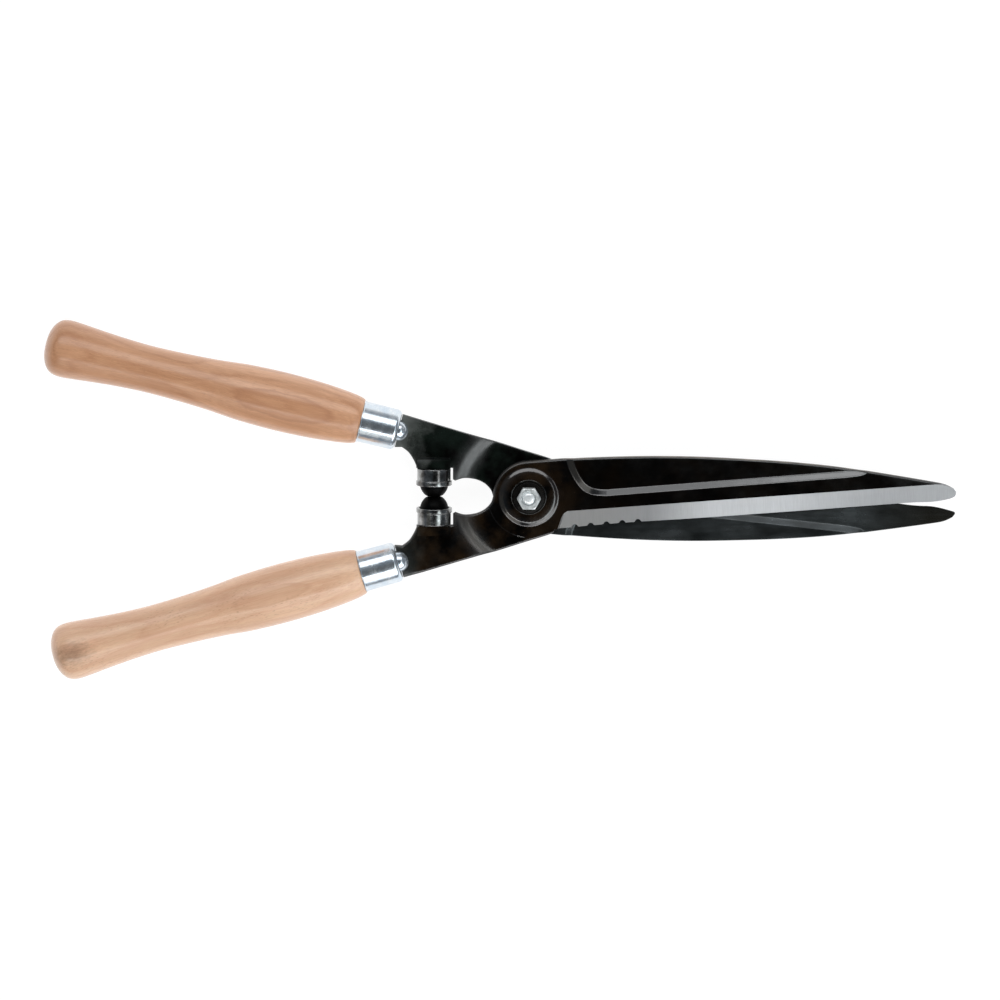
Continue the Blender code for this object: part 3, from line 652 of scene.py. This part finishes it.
def ferrule_profile():
    shoulder = FERRULE_SHOULDER - SHOULDER_ROUND
    quarter = [math.radians(90 * i / 10) for i in range(11)]
    nose = [(NOSE_RADIUS * math.sin(a), NOSE_HEIGHT * math.cos(a)) for a in quarter]
    rounded = [(shoulder + SHOULDER_ROUND * math.sin(a), SHOULDER_ROUND * (math.cos(a) - 1))
               for a in quarter]
    inner_nose = NOSE_RADIUS - FERRULE_WALL
    mouth = [(FERRULE_MOUTH - 0.35, 0.7 - FERRULE_LENGTH), (FERRULE_MOUTH, 0.35 - FERRULE_LENGTH),
             (FERRULE_MOUTH - 0.05, -FERRULE_LENGTH), (FERRULE_MOUTH - FERRULE_WALL, -FERRULE_LENGTH)]
    inner = [(FERRULE_SHOULDER - FERRULE_WALL, -SHOULDER_ROUND), (shoulder, -FERRULE_WALL),
             (inner_nose, -FERRULE_WALL)]
    cavity = [(inner_nose * math.sin(a), (NOSE_HEIGHT - FERRULE_WALL) * math.cos(a))
              for a in quarter[::-1][1:]]
    return nose + rounded + mouth + inner + cavity


def build_ferrule(half, place, spin, finishes):
    mesh = lathe_mesh(half + "_cap", ferrule_profile(), 128)
    slot_height = PLATE + 2 * FIT_GAP
    nose_slot = box_mesh((slot_height, 3 * NOSE_RADIUS, 10), (0, 0, 5.0))
    tang_slot = box_mesh((slot_height, 2 * (TANG_ROOT + FIT_GAP), 4))
    mesh = cut_mesh(mesh, [nose_slot, tang_slot])
    add_piece(half + "_cap", put(mesh, place, spin), half, half + "_ferrule", "plated_ferrule",
              finishes["ferrule_plate"])


def build_handle(half, place, spin, finishes):
    shoulder = -FERRULE_LENGTH - FIT_GAP
    spigot = FERRULE_SHOULDER - FERRULE_WALL - FIT_GAP
    profile = [(0, -SPIGOT_START), (spigot, -SPIGOT_START), (spigot, shoulder)]
    profile += [(max(r, 0.0), shoulder - d) for d, r in smooth(HANDLE_SHAPE)]
    mesh = lathe_mesh(half + "_grip", profile, 160, angle=40.0)
    add_piece(half + "_grip", put(mesh, place, spin), half, half + "_handle", "beech",
              finishes[half + "_wood"])


# -------------------- buffer

def build_buffer(half, finishes):
    seat = ((LUG_CENTRE_X, SEAT_Y, 0), (-90, 0, 0))
    hole = SCREW_RADIUS + FIT_GAP
    inner = CUP_RADIUS - CUP_WALL
    cup = [(inner, CUP_HEIGHT), (CUP_RIM_RADIUS, CUP_HEIGHT), (CUP_RIM_RADIUS, CUP_RIM_START),
           (CUP_RADIUS, CUP_RIM_START - 0.5), (CUP_RADIUS, FIT_GAP), (hole, FIT_GAP),
           (hole, CUP_BASE), (inner, CUP_BASE)]
    mesh = lathe_mesh(half + "_cup", fillet(cup, 0.5, closed=True), 96, closed=True)
    add_piece(half + "_cup", put(mesh, *seat), half, half + "_buffer_cup", "plated_cup",
              finishes["cup_plate"])

    plug = inner - FIT_GAP
    over = CUP_HEIGHT + FIT_GAP
    bottom = CUP_BASE + FIT_GAP
    pocket = SCREW_HEAD + FIT_GAP
    stop = [(0, RUBBER_TOP)] + list(smooth(RUBBER_DOME, 5))
    stop += [(RUBBER_RADIUS, over), (plug, over), (plug, bottom), (pocket, bottom),
             (pocket, RUBBER_POCKET), (0, RUBBER_POCKET)]
    mesh = lathe_mesh(half + "_stop", stop, 96)
    add_piece(half + "_stop", put(mesh, *seat), half, half + "_buffer", "buffer_rubber",
              finishes["rubber"])

    head = [(0, bottom + 2.5), (2.2, bottom + 2.3), (3.4, bottom + 1.7), (SCREW_HEAD, bottom + 0.8),
            (SCREW_HEAD, bottom), (SCREW_RADIUS, bottom), (SCREW_RADIUS, -SCREW_DEPTH),
            (0, -SCREW_DEPTH)]
    mesh = lathe_mesh(half + "_stud", head, 48)
    add_piece(half + "_stud", put(mesh, *seat), half, half + "_buffer_screw", "zinc_fastener",
              finishes["zinc"])


# -------------------- pivot

def add_pivot_piece(name, mesh, replaced, slot, finish):
    """The stack is drawn face up, and rides on the rear half, which lies face down."""
    mesh.transform(Matrix.Rotation(math.pi, 4, "X"))
    add_piece(name, mesh, "rear", replaced, slot, finish)


def build_nut(finishes):
    corner = NUT_ACROSS_FLATS / math.sqrt(3)
    half = NUT_HEIGHT / 2
    mesh = bpy.data.meshes.new("nut")
    bm = bmesh.new()
    bmesh.ops.create_cone(bm, cap_ends=True, segments=6, radius1=corner * MM, radius2=corner * MM,
                          depth=NUT_HEIGHT * MM)
    corners_along_x = Matrix.Rotation(math.radians(30), 3, "Z")
    bmesh.ops.rotate(bm, verts=bm.verts, matrix=corners_along_x, cent=(0, 0, 0))
    bmesh.ops.bevel(bm, geom=[e for e in bm.edges if abs(e.verts[0].co.z - e.verts[1].co.z) > 0.001],
                    offset=0.25 * MM, segments=3, profile=0.5, affect="EDGES")
    bm.to_mesh(mesh)
    bm.free()
    flat = NUT_ACROSS_FLATS / 2 - 0.1
    wide = corner + 1               # clear of the corners, which the crown chamfers at 30 degrees
    drop = (wide - flat) * math.tan(math.radians(30))
    crown = [(0, half), (flat, half), (wide, half - drop), (wide, drop - half), (flat, -half), (0, -half)]
    mesh = cut_mesh(mesh, [lathe_mesh("crown", crown)], "INTERSECT")
    sink = BOLT_RADIUS + 1.1
    thread = BOLT_RADIUS + 0.2
    bore = [(0, half + 1), (sink, half + 1), (sink, half), (thread, half - 0.9),
            (thread, -half - 1), (0, -half - 1)]
    mesh = cut_mesh(mesh, [lathe_mesh("bore", bore, 64)], angle=25.0)
    put(mesh, (0, 0, NUT_BASE + half))
    add_pivot_piece("nut", mesh, "pivot_nut", "zinc_fastener", finishes["zinc"])


def add_washer(name, profile, rounding, replaced, finishes):
    mesh = lathe_mesh(name, fillet(profile, rounding, closed=True), closed=True)
    add_pivot_piece(name, mesh, replaced, "black_washer", finishes["black_washer"])


def build_pivot(finishes):
    under = -OUTER_FACE - FIT_GAP
    end = NUT_BASE + NUT_HEIGHT - NUT_OVER_BOLT
    quarter = [math.radians(90 * i / 12) for i in range(13)]
    head = [(BOLT_HEAD_RADIUS * math.cos(a), under - BOLT_HEAD_HEIGHT * math.sin(a)) for a in quarter]
    shank = [(0, end + 0.5), (1.0, end + 0.46), (2.0, end + 0.33), (2.8, end + 0.12), (3.4, end - 0.15),
             (BOLT_RADIUS, end - 0.8), (BOLT_RADIUS, under)]
    head[-1] = (0, head[-1][1])     # exactly on the axis
    mesh = lathe_mesh("bolt", shank + head, 96)
    neck_top = -HALF_GAP
    neck_bottom = under - 1         # it runs into the bolt's head
    neck = box_mesh((2 * BOLT_RADIUS, 2 * BOLT_RADIUS, neck_top - neck_bottom),
                    (0, 0, (neck_top + neck_bottom) / 2), 0.3)
    mesh = cut_mesh(mesh, [neck], "UNION")
    add_pivot_piece("bolt", mesh, "pivot_bolt", "zinc_fastener", finishes["bright_zinc"])

    base = OUTER_FACE + FIT_GAP
    hole = BOLT_RADIUS + FIT_GAP
    flat = [(hole, base + FLAT_WASHER), (FLAT_WASHER_RADIUS, base + FLAT_WASHER),
            (FLAT_WASHER_RADIUS, base), (hole, base)]
    add_washer("thrust_washer", flat, 0.1, "flat_washer", finishes)
    base += FLAT_WASHER + FIT_GAP
    thick = SPRING_WASHER - CONE_RISE
    cone = [(hole, base + SPRING_WASHER), (SPRING_WASHER_RADIUS, base + thick),
            (SPRING_WASHER_RADIUS, base), (hole, base + CONE_RISE)]
    add_washer("cone_washer", cone, 0.2, "spring_washer", finishes)
    build_nut(finishes)


# -------------------- materials

class Nodes:
    """A material's node tree, with a Principled shader and short calls for the nodes it needs."""

    def __init__(self, name, **constants):
        self.material = bpy.data.materials.new(name)
        self.material.use_nodes = True
        self.tree = self.material.node_tree
        self.shader = self.tree.nodes["Principled BSDF"]
        for key, value in constants.items():
            self.shader.inputs[key.replace("_", " ")].default_value = value

    def add(self, kind, inputs=None, **settings):
        node = self.tree.nodes.new(kind)
        for key, value in settings.items():
            setattr(node, key, value)
        for key, value in (inputs or {}).items():
            if isinstance(value, bpy.types.NodeSocket):
                self.tree.links.new(value, node.inputs[key])
            else:
                node.inputs[key].default_value = value
        return node

    def place(self, scale=(1, 1, 1), origin=(0, 0, 0), turned=0.0):
        """Object coordinates from an origin, in a frame turned about Z by degrees, then scaled."""
        where = self.add("ShaderNodeTexCoord").outputs["Object"]
        local = self.add("ShaderNodeMapping", {"Vector": where, "Location": origin,
                                               "Rotation": (0, 0, math.radians(turned))},
                         vector_type="TEXTURE").outputs["Vector"]
        return self.vector("MULTIPLY", local, scale)

    def vector(self, operation, first, second=(0, 0, 0), output="Vector"):
        node = self.add("ShaderNodeVectorMath", {0: first, 1: second}, operation=operation)
        return node.outputs[output]

    def x_of(self, vector):
        return self.add("ShaderNodeSeparateXYZ", {0: vector}).outputs["X"]

    def math(self, operation, first, second):
        return self.add("ShaderNodeMath", {0: first, 1: second}, operation=operation).outputs[0]

    def times(self, first, second):
        return self.math("MULTIPLY", first, second)

    def plus(self, first, second):
        return self.math("ADD", first, second)

    def attribute(self, title):
        return self.add("ShaderNodeAttribute", attribute_name=title).outputs["Fac"]

    def noise(self, scale, vector, detail=3.0, roughness=0.5):
        return self.add("ShaderNodeTexNoise", {"Vector": vector, "Scale": scale, "Detail": detail,
                                               "Roughness": roughness}).outputs["Fac"]

    def ramp(self, factor, *stops):
        """A colour ramp from (position, colour or grey) stops."""
        node = self.add("ShaderNodeValToRGB", {"Fac": factor})
        elements = node.color_ramp.elements
        while len(elements) < len(stops):
            elements.new(0.5)
        for element, (position, colour) in zip(elements, stops):
            element.position = position
            element.color = (*colour, 1) if isinstance(colour, tuple) else (colour, colour, colour, 1)
        return node.outputs["Color"]

    def mix(self, factor, *colours):
        """Blends from the first colour to the second. Either may be a socket."""
        first, second = [c if isinstance(c, bpy.types.NodeSocket) else (*c, 1) for c in colours]
        node = self.add("ShaderNodeMix", {0: factor, 6: first, 7: second}, data_type="RGBA")
        return node.outputs[2]

    def set(self, key, socket):
        self.tree.links.new(socket, self.shader.inputs[key])

    def vary(self, cloud, start, colours, low, high):
        """Colour and roughness that change with a noise."""
        self.set("Base Color", self.ramp(cloud, (start, colours[0]), (0.7, colours[1])))
        self.set("Roughness", self.ramp(cloud, (0.3, low), (0.7, high)))

    def bump(self, height, distance, strength, onto="Normal"):
        node = self.add("ShaderNodeBump", {"Height": height, "Distance": distance,
                                           "Strength": strength})
        self.set(onto, node.outputs["Normal"])


class Grain(Nodes):
    """A wood's nodes, with coordinates along the handle's axis from the ferrule's face."""

    def __init__(self, half, **constants):
        super().__init__("beech_" + half, **constants)
        self.splay = HALVES[half]["splay"]
        self.face = along_axis(self.splay, FACE_OFFSET) * MM

    def along(self, u=1.0, v=1.0, w=1.0):
        return self.place((u, v, w), (self.face[0], self.face[1], 0), self.splay)

    def figure(self, u, v, w, detail=3.0, roughness=0.5):
        """Noise drawn out along the handle."""
        return self.noise(1.0, self.along(u, v, w), detail, roughness)


def growth_rings(m, pith):
    """The late wood of rings about a pith that sways and leans away from the handle's axis."""
    sway = m.figure(14, 60, 60, 2.0)
    drift = m.add("ShaderNodeCombineXYZ", {"Y": m.times(sway, 0.010),
                                           "Z": m.times(sway, 0.012)}).outputs[0]
    from_pith = m.vector("ADD", m.vector("ADD", m.along(), drift), pith)
    tilted = m.add("ShaderNodeMapping", {"Vector": from_pith, "Rotation": (0, math.radians(1.2), 0)},
                   vector_type="POINT").outputs["Vector"]
    rings = m.add("ShaderNodeTexWave", {"Vector": tilted, "Scale": 62.0, "Distortion": 0.8, "Detail": 2.0,
                                        "Detail Scale": 30.0, "Detail Roughness": 0.6},
                  wave_type="RINGS", rings_direction="X", wave_profile="SAW").outputs["Fac"]
    return m.ramp(rings, (0.0, 0.85), (0.10, 0.15), (0.45, 0.0), (0.8, 0.35), (0.96, 1.0))


def ray_flecks(m):
    """The short flecks of the rays, in patches."""
    ray = m.add("ShaderNodeTexVoronoi", {"Vector": m.along(260, 1150, 1150),
                                         "Scale": 1.0}).outputs["Distance"]
    patchy = m.ramp(m.figure(26, 60, 60, 2.0), (0.46, 0.12), (0.60, 1.0))
    return m.times(m.ramp(ray, (0.14, 1.0), (0.30, 0.0)), patchy)


def long_oval(m, u, v, length, width, rim):
    """A ring cut lengthwise by the turned surface: a ragged oval round (u, v) with a darker rim."""
    local = m.vector("SUBTRACT", m.along(), (u, v, 0))
    local = m.vector("MULTIPLY", local, (0.5 / length, 0.5 / width, 0))
    reach = m.vector("LENGTH", local, output="Value")
    reach = m.plus(reach, m.times(m.figure(70, 420, 420, 4.0, 0.7), 0.24))
    return m.ramp(reach, (0.35, 0.34), (0.50, 0.34), (0.58, rim), (0.64, 0.0))


def small_knot(m, knot):
    """A ragged dark spot, drawn out along the handle."""
    distance = m.vector("DISTANCE", m.along(0.6, 1, 1), knot, "Value")
    ragged = m.plus(distance, m.times(m.figure(160, 480, 480, 4.0, 0.7), 0.012))
    return m.ramp(ragged, (0.0075, 0.75), (0.0155, 0.0))


def wood(half, pale, mid, dark, pith, flecks, oval, butt, knot=None):
    """Varnished beech, with growth rings, broad bands, fine fibre and ray flecks. "butt" says how far
    it darkens towards its end."""
    m = Grain(half, Coat_Weight=0.7, Coat_Roughness=0.17, Coat_IOR=1.5)
    sunlit = tuple(min(1, c * 1.25) for c in pale)
    brown = tuple(c * s for c, s in zip(dark, (0.66, 0.5, 0.42)))
    base = m.mix(m.times(growth_rings(m, pith), 0.9), pale, mid)
    broad = m.ramp(m.figure(16, 90, 90), (0.38, 0.0), (0.66, 1.0))
    base = m.mix(m.times(broad, 0.50), base, dark)
    to_butt = m.times(m.x_of(m.along()), -1 / BUTT_AT)
    base = m.mix(m.ramp(to_butt, (0.30, 0.0), (0.95, butt)), base, dark)
    fibre = m.figure(55, 1500, 1500, 3.0, 0.65)
    base = m.mix(m.ramp(fibre, (0.42, 0.0), (0.72, 0.45)), base, dark)
    light_fibre = m.figure(70, 2100, 2100, 2.0, 0.6)
    base = m.mix(m.ramp(light_fibre, (0.52, 0.0), (0.75, 0.35)), base, sunlit)
    base = m.mix(m.times(ray_flecks(m), flecks), base, brown)
    base = m.mix(long_oval(m, *oval), base, dark)
    if knot:
        base = m.mix(small_knot(m, knot), base, tuple(c * 0.5 for c in dark))
    m.set("Base Color", base)
    m.set("Roughness", m.ramp(m.figure(60, 400, 400), (0.3, 0.38), (0.7, 0.55)))
    uneven = m.times(m.figure(220, 700, 700, 2.0), 1.4)
    m.bump(m.plus(fibre, uneven), 0.00005, 0.8)
    m.bump(m.figure(330, 900, 900, 3.0, 0.6), 0.0001, 0.8, "Coat Normal")
    return m.material


def lacquer(half, dull, soft, stain):
    """Glossy black lacquer over a forging: stained round the head and along the shank, softer by "soft"
    over the joggle, worn thin along the edges, and dulled at the tang by the share "dull"."""
    m = Nodes("lacquer_" + half, IOR=1.85)
    cloud = m.noise(62.0, m.place(), 4.0, 0.6)
    behind = m.x_of(m.place(origin=(0.035, 0, 0)))
    reach = m.ramp(m.times(behind, -12.0), (0.0, 0.14), (0.35, 1.0))
    blotches = m.times(m.ramp(cloud, (0.40, 0.0), (0.66, 1.0)), reach)
    body = m.mix(blotches, (0.0006, 0.0004, 0.0003), stain)
    to_tang = m.times(m.x_of(m.place(origin=(-0.045, 0, 0))), -1 / 0.040)
    patches = m.times(m.math("SUBTRACT", m.noise(55.0, m.place(), 4.0, 0.6), 0.5), 1.3)
    scaled = m.times(m.ramp(m.plus(to_tang, patches), (0.50, 0.0), (1.1, 1.0)), dull)
    body = m.mix(scaled, body, (0.078, 0.086, 0.078))
    worn = m.times(m.attribute("wear"),
                  m.ramp(m.noise(260.0, m.place((0.35, 1, 1)), 4.0, 0.6), (0.30, 0.25), (0.62, 1.0)))
    bare = m.ramp(worn, (0.15, 0.0), (0.95, 0.85))
    m.set("Base Color", m.mix(bare, body, (0.34, 0.30, 0.26)))
    m.set("Metallic", bare)
    gloss = m.ramp(m.noise(90.0, m.place(), 5.0, 0.65), (0.3, 0.09), (0.7, 0.18))
    along_bearing = m.vector("DOT_PRODUCT", m.place(), (*polar(10.0, JOGGLE_BEARING), 0), "Value")
    joggle = m.ramp(along_bearing, (0.33, 0.0), (0.39, soft), (0.46, soft), (0.54, 0.0))
    rough = m.plus(m.times(m.attribute("rim"), 0.30), joggle)
    m.set("Roughness", m.plus(m.plus(gloss, rough), m.times(scaled, 0.25)))
    fine = m.noise(900.0, m.place(), 2.0)
    slow = m.noise(45.0, m.place(), 2.0)
    m.bump(m.plus(m.times(fine, 0.06), slow), 0.0006, 0.35)
    return m.material


def ground_steel():
    """The grind: bare steel with fine lines across the edge. Its tone along the blade is painted light and
    shade: painted shade towards the heel, a painted highlight from about the middle on, and dimmer again
    towards the tip.
    """
    m = Nodes("ground_steel", Metallic=0.72)
    lines = m.noise(1.0, m.place((2600, 90, 90), turned=4.0), 3.0, 0.7)
    cloud = m.noise(30.0, m.place(), 4.0, 0.6)
    to_tip = m.times(m.x_of(m.place()), 1 / 0.265)
    # painted light and shade along the grind: this tone stands in for the grind's reflection, dark at the
    # heel and brightest from about the middle on
    sheen_tone = m.ramp(to_tip, (0.17, (0.262, 0.259, 0.255)), (0.28, (0.272, 0.273, 0.276)),
                  (0.43, (0.560, 0.566, 0.575)), (0.60, (0.580, 0.587, 0.597)),
                  (0.72, (0.455, 0.461, 0.470)), (0.84, (0.395, 0.400, 0.408)),
                  (0.96, (0.400, 0.405, 0.413)))
    sheen_tone = m.mix(m.ramp(cloud, (0.3, 0.10), (0.7, 0.0)), sheen_tone, (0.18, 0.18, 0.18))
    m.set("Base Color", m.mix(m.ramp(lines, (0.35, 0.15), (0.7, 0.0)), sheen_tone, (0.24, 0.24, 0.24)))
    m.set("Roughness", m.ramp(lines, (0.3, 0.64), (0.7, 0.52)))
    m.bump(lines, 0.00004, 0.6)
    return m.material


def inner_steel():
    """The blades' inner faces: oiled steel, darker at the tip, with faint lines along the blade."""
    m = Nodes("inner_steel", Metallic=0.7)
    streak = m.noise(1.0, m.place((22, 600, 600)), 4.0, 0.6)
    cloud = m.noise(26.0, m.place((1, 2.2, 1)), 4.0, 0.6)
    base = m.mix(m.ramp(cloud, (0.35, 0.0), (0.7, 1.0)), (0.024, 0.028, 0.029), (0.088, 0.098, 0.102))
    to_tip = m.times(m.x_of(m.place(origin=(0.205, 0, 0))), 1 / 0.045)
    base = m.mix(m.ramp(to_tip, (0.0, 0.0), (1.0, 1.0)), base, (0.011, 0.0095, 0.0055))
    m.set("Base Color", m.mix(m.ramp(streak, (0.4, 0.0), (0.75, 0.5)), base, (0.03, 0.03, 0.028)))
    m.set("Roughness", m.ramp(cloud, (0.3, 0.20), (0.7, 0.30)))
    m.bump(streak, 0.00003, 0.5)
    return m.material


def plated(name, colours, low, high, metal):
    """Bright plate, drawn thin, with a faintly uneven gloss."""
    m = Nodes(name, Metallic=metal)
    cloud = m.noise(190.0, m.place(), 4.0, 0.6)
    fine = m.noise(900.0, m.place(), 3.0, 0.6)
    m.vary(cloud, 0.35, colours, low, high)
    m.bump(m.plus(m.times(cloud, 2.0), fine), 0.00005, 0.5)
    return m.material


def zinc(name, colours, rough, metal):
    m = Nodes(name, Metallic=metal)
    m.vary(m.noise(420.0, m.place(), 4.0, 0.6), 0.3, colours, rough, rough + 0.16)
    m.bump(m.noise(1500.0, m.place(), 2.0), 0.00003, 0.5)
    return m.material


def black_washer():
    m = Nodes("blackened_washer", Metallic=0.2, Specular_IOR_Level=0.3)
    cloud = m.noise(300.0, m.place(), 4.0, 0.6)
    m.vary(cloud, 0.3, ((0.0015, 0.0013, 0.0012), (0.007, 0.0055, 0.004)), 0.22, 0.38)
    m.bump(cloud, 0.00004, 0.5)
    return m.material


def rubber():
    m = Nodes("moulded_rubber", Specular_IOR_Level=0.05)
    cloud = m.noise(200.0, m.place(), 2.0)
    m.vary(cloud, 0.35, ((0.0006, 0.0006, 0.0006), (0.0018, 0.0016, 0.0014)), 0.34, 0.50)
    m.bump(m.noise(1600.0, m.place(), 3.0, 0.6), 0.00005, 0.5)
    return m.material


def all_finishes():
    front_wood = wood("front", (0.99, 0.635, 0.415), (0.90, 0.52, 0.33), (0.70, 0.365, 0.215),
                      pith=(0, 0.006, 0.030), flecks=0.45, oval=(-0.082, 0.0026, 0.026, 0.006, 0.5),
                      butt=0.0, knot=(-0.127, 0.0005, 0.0165))
    rear_wood = wood("rear", (0.88, 0.475, 0.268), (0.665, 0.32, 0.162), (0.54, 0.245, 0.122),
                     pith=(0, -0.002, -0.024), flecks=0.25, oval=(-0.073, 0.0003, 0.033, 0.0085, 0.8),
                     butt=0.40)
    nickel = ((0.66, 0.75, 0.84), (0.85, 0.90, 0.94))
    dull_nickel = ((0.12, 0.117, 0.112), (0.46, 0.47, 0.47))
    return {
        "front_wood": front_wood,
        "rear_wood": rear_wood,
        "front_lacquer": lacquer("front", 0.30, 0.18, (0.019, 0.0108, 0.005)),
        "rear_lacquer": lacquer("rear", 1.0, 0.24, (0.007, 0.0115, 0.009)),
        "ground_steel": ground_steel(),
        "inner_steel": inner_steel(),
        "ferrule_plate": plated("ferrule_plate", nickel, 0.15, 0.28, 0.86),
        "cup_plate": plated("cup_plate", dull_nickel, 0.12, 0.26, 1.0),
        "zinc": zinc("zinc", ((0.60, 0.63, 0.63), (0.92, 0.95, 0.95)), 0.34, 0.78),
        "bright_zinc": zinc("bright_zinc", ((0.86, 0.90, 0.91), (0.97, 0.99, 1.0)), 0.24, 0.45),
        "black_washer": black_washer(),
        "rubber": rubber(),
    }


# -------------------- stage

def softbox(name, azimuth, off_zenith, distance, size, radiance, colour):
    """An area light that faces the shears."""
    light = bpy.data.lights.new(name, "AREA")
    light.shape = "RECTANGLE"
    light.size, light.size_y = size
    light.energy = radiance * math.pi * size[0] * size[1]
    light.color = colour
    obj = new_object(name, light)
    tilt, around = math.radians(off_zenith), math.radians(azimuth)
    away = Vector((math.sin(tilt) * math.cos(around), math.sin(tilt) * math.sin(around), math.cos(tilt)))
    obj.location = away * distance
    obj.rotation_euler = (0, tilt, around)


def build_floor():
    """White paper that glows a little, so that it stays white under a black object."""
    r = FLOOR_HALF
    mesh = bpy.data.meshes.new("floor")
    mesh.from_pydata([(-r, -r, 0), (r, -r, 0), (r, r, 0), (-r, r, 0)], [], [(0, 1, 2, 3)])
    floor = new_object("floor", mesh)
    floor.location.z = -FLOOR_DROP
    paper = Nodes("paper", Base_Color=(0.16, 0.16, 0.16, 1), Roughness=0.9,
                  Emission_Color=(1, 1, 1, 1), Emission_Strength=0.93)
    mesh.materials.append(paper.material)


def build_sky():
    """The studio round the lights, which turns dark towards OVERHEAD."""
    world = bpy.data.worlds.new("studio")
    bpy.context.scene.world = world
    world.use_nodes = True
    tree = world.node_tree
    where = tree.nodes.new("ShaderNodeTexCoord")
    overhead = tree.nodes.new("ShaderNodeVectorMath")
    overhead.operation = "DOT_PRODUCT"
    tree.links.new(where.outputs["Generated"], overhead.inputs[0])
    overhead.inputs[1].default_value = OVERHEAD
    sky = tree.nodes.new("ShaderNodeValToRGB")
    tree.links.new(overhead.outputs["Value"], sky.inputs["Fac"])
    elements = sky.color_ramp.elements
    while len(elements) < len(SKY):
        elements.new(0.5)
    for element, (position, colour) in zip(elements, SKY):
        element.position = position
        element.color = (*colour, 1)
    tree.links.new(sky.outputs["Color"], tree.nodes["Background"].inputs["Color"])


def build_camera():
    """Looks down on the shears, leaning towards +Y, and frames them across the picture."""
    tilt = math.radians(CAMERA_TILT)
    camera = bpy.data.cameras.new("camera")
    camera.lens = CAMERA_LENS
    camera.sensor_width = SENSOR_WIDTH
    camera.clip_end = 20
    obj = new_object("camera", camera)
    aim = PIVOT + Vector(CAMERA_AIM) * MM
    distance = FRAME_WIDTH / 2 / math.tan(math.atan(SENSOR_WIDTH / 2 / CAMERA_LENS))
    obj.rotation_euler = (tilt, 0, 0)
    obj.location = aim + Vector((0, -math.sin(tilt), math.cos(tilt))) * distance
    bpy.context.scene.camera = obj


def build_studio():
    build_camera()
    build_floor()
    for box in SOFTBOXES:
        softbox(*box)
    build_sky()
    bpy.context.scene.view_settings.view_transform = "Standard"


def main():
    build_studio()
    finishes = all_finishes()
    for half, spec in HALVES.items():
        build_forging(half, spec, finishes)
        face = along_axis(spec["splay"], FACE_OFFSET)
        place = (face[0], face[1], 0)
        spin = (0, 90, spec["splay"])
        build_ferrule(half, place, spin, finishes)
        build_handle(half, place, spin, finishes)
        build_buffer(half, finishes)
    build_pivot(finishes)
    bpy.context.view_layer.update()


main()
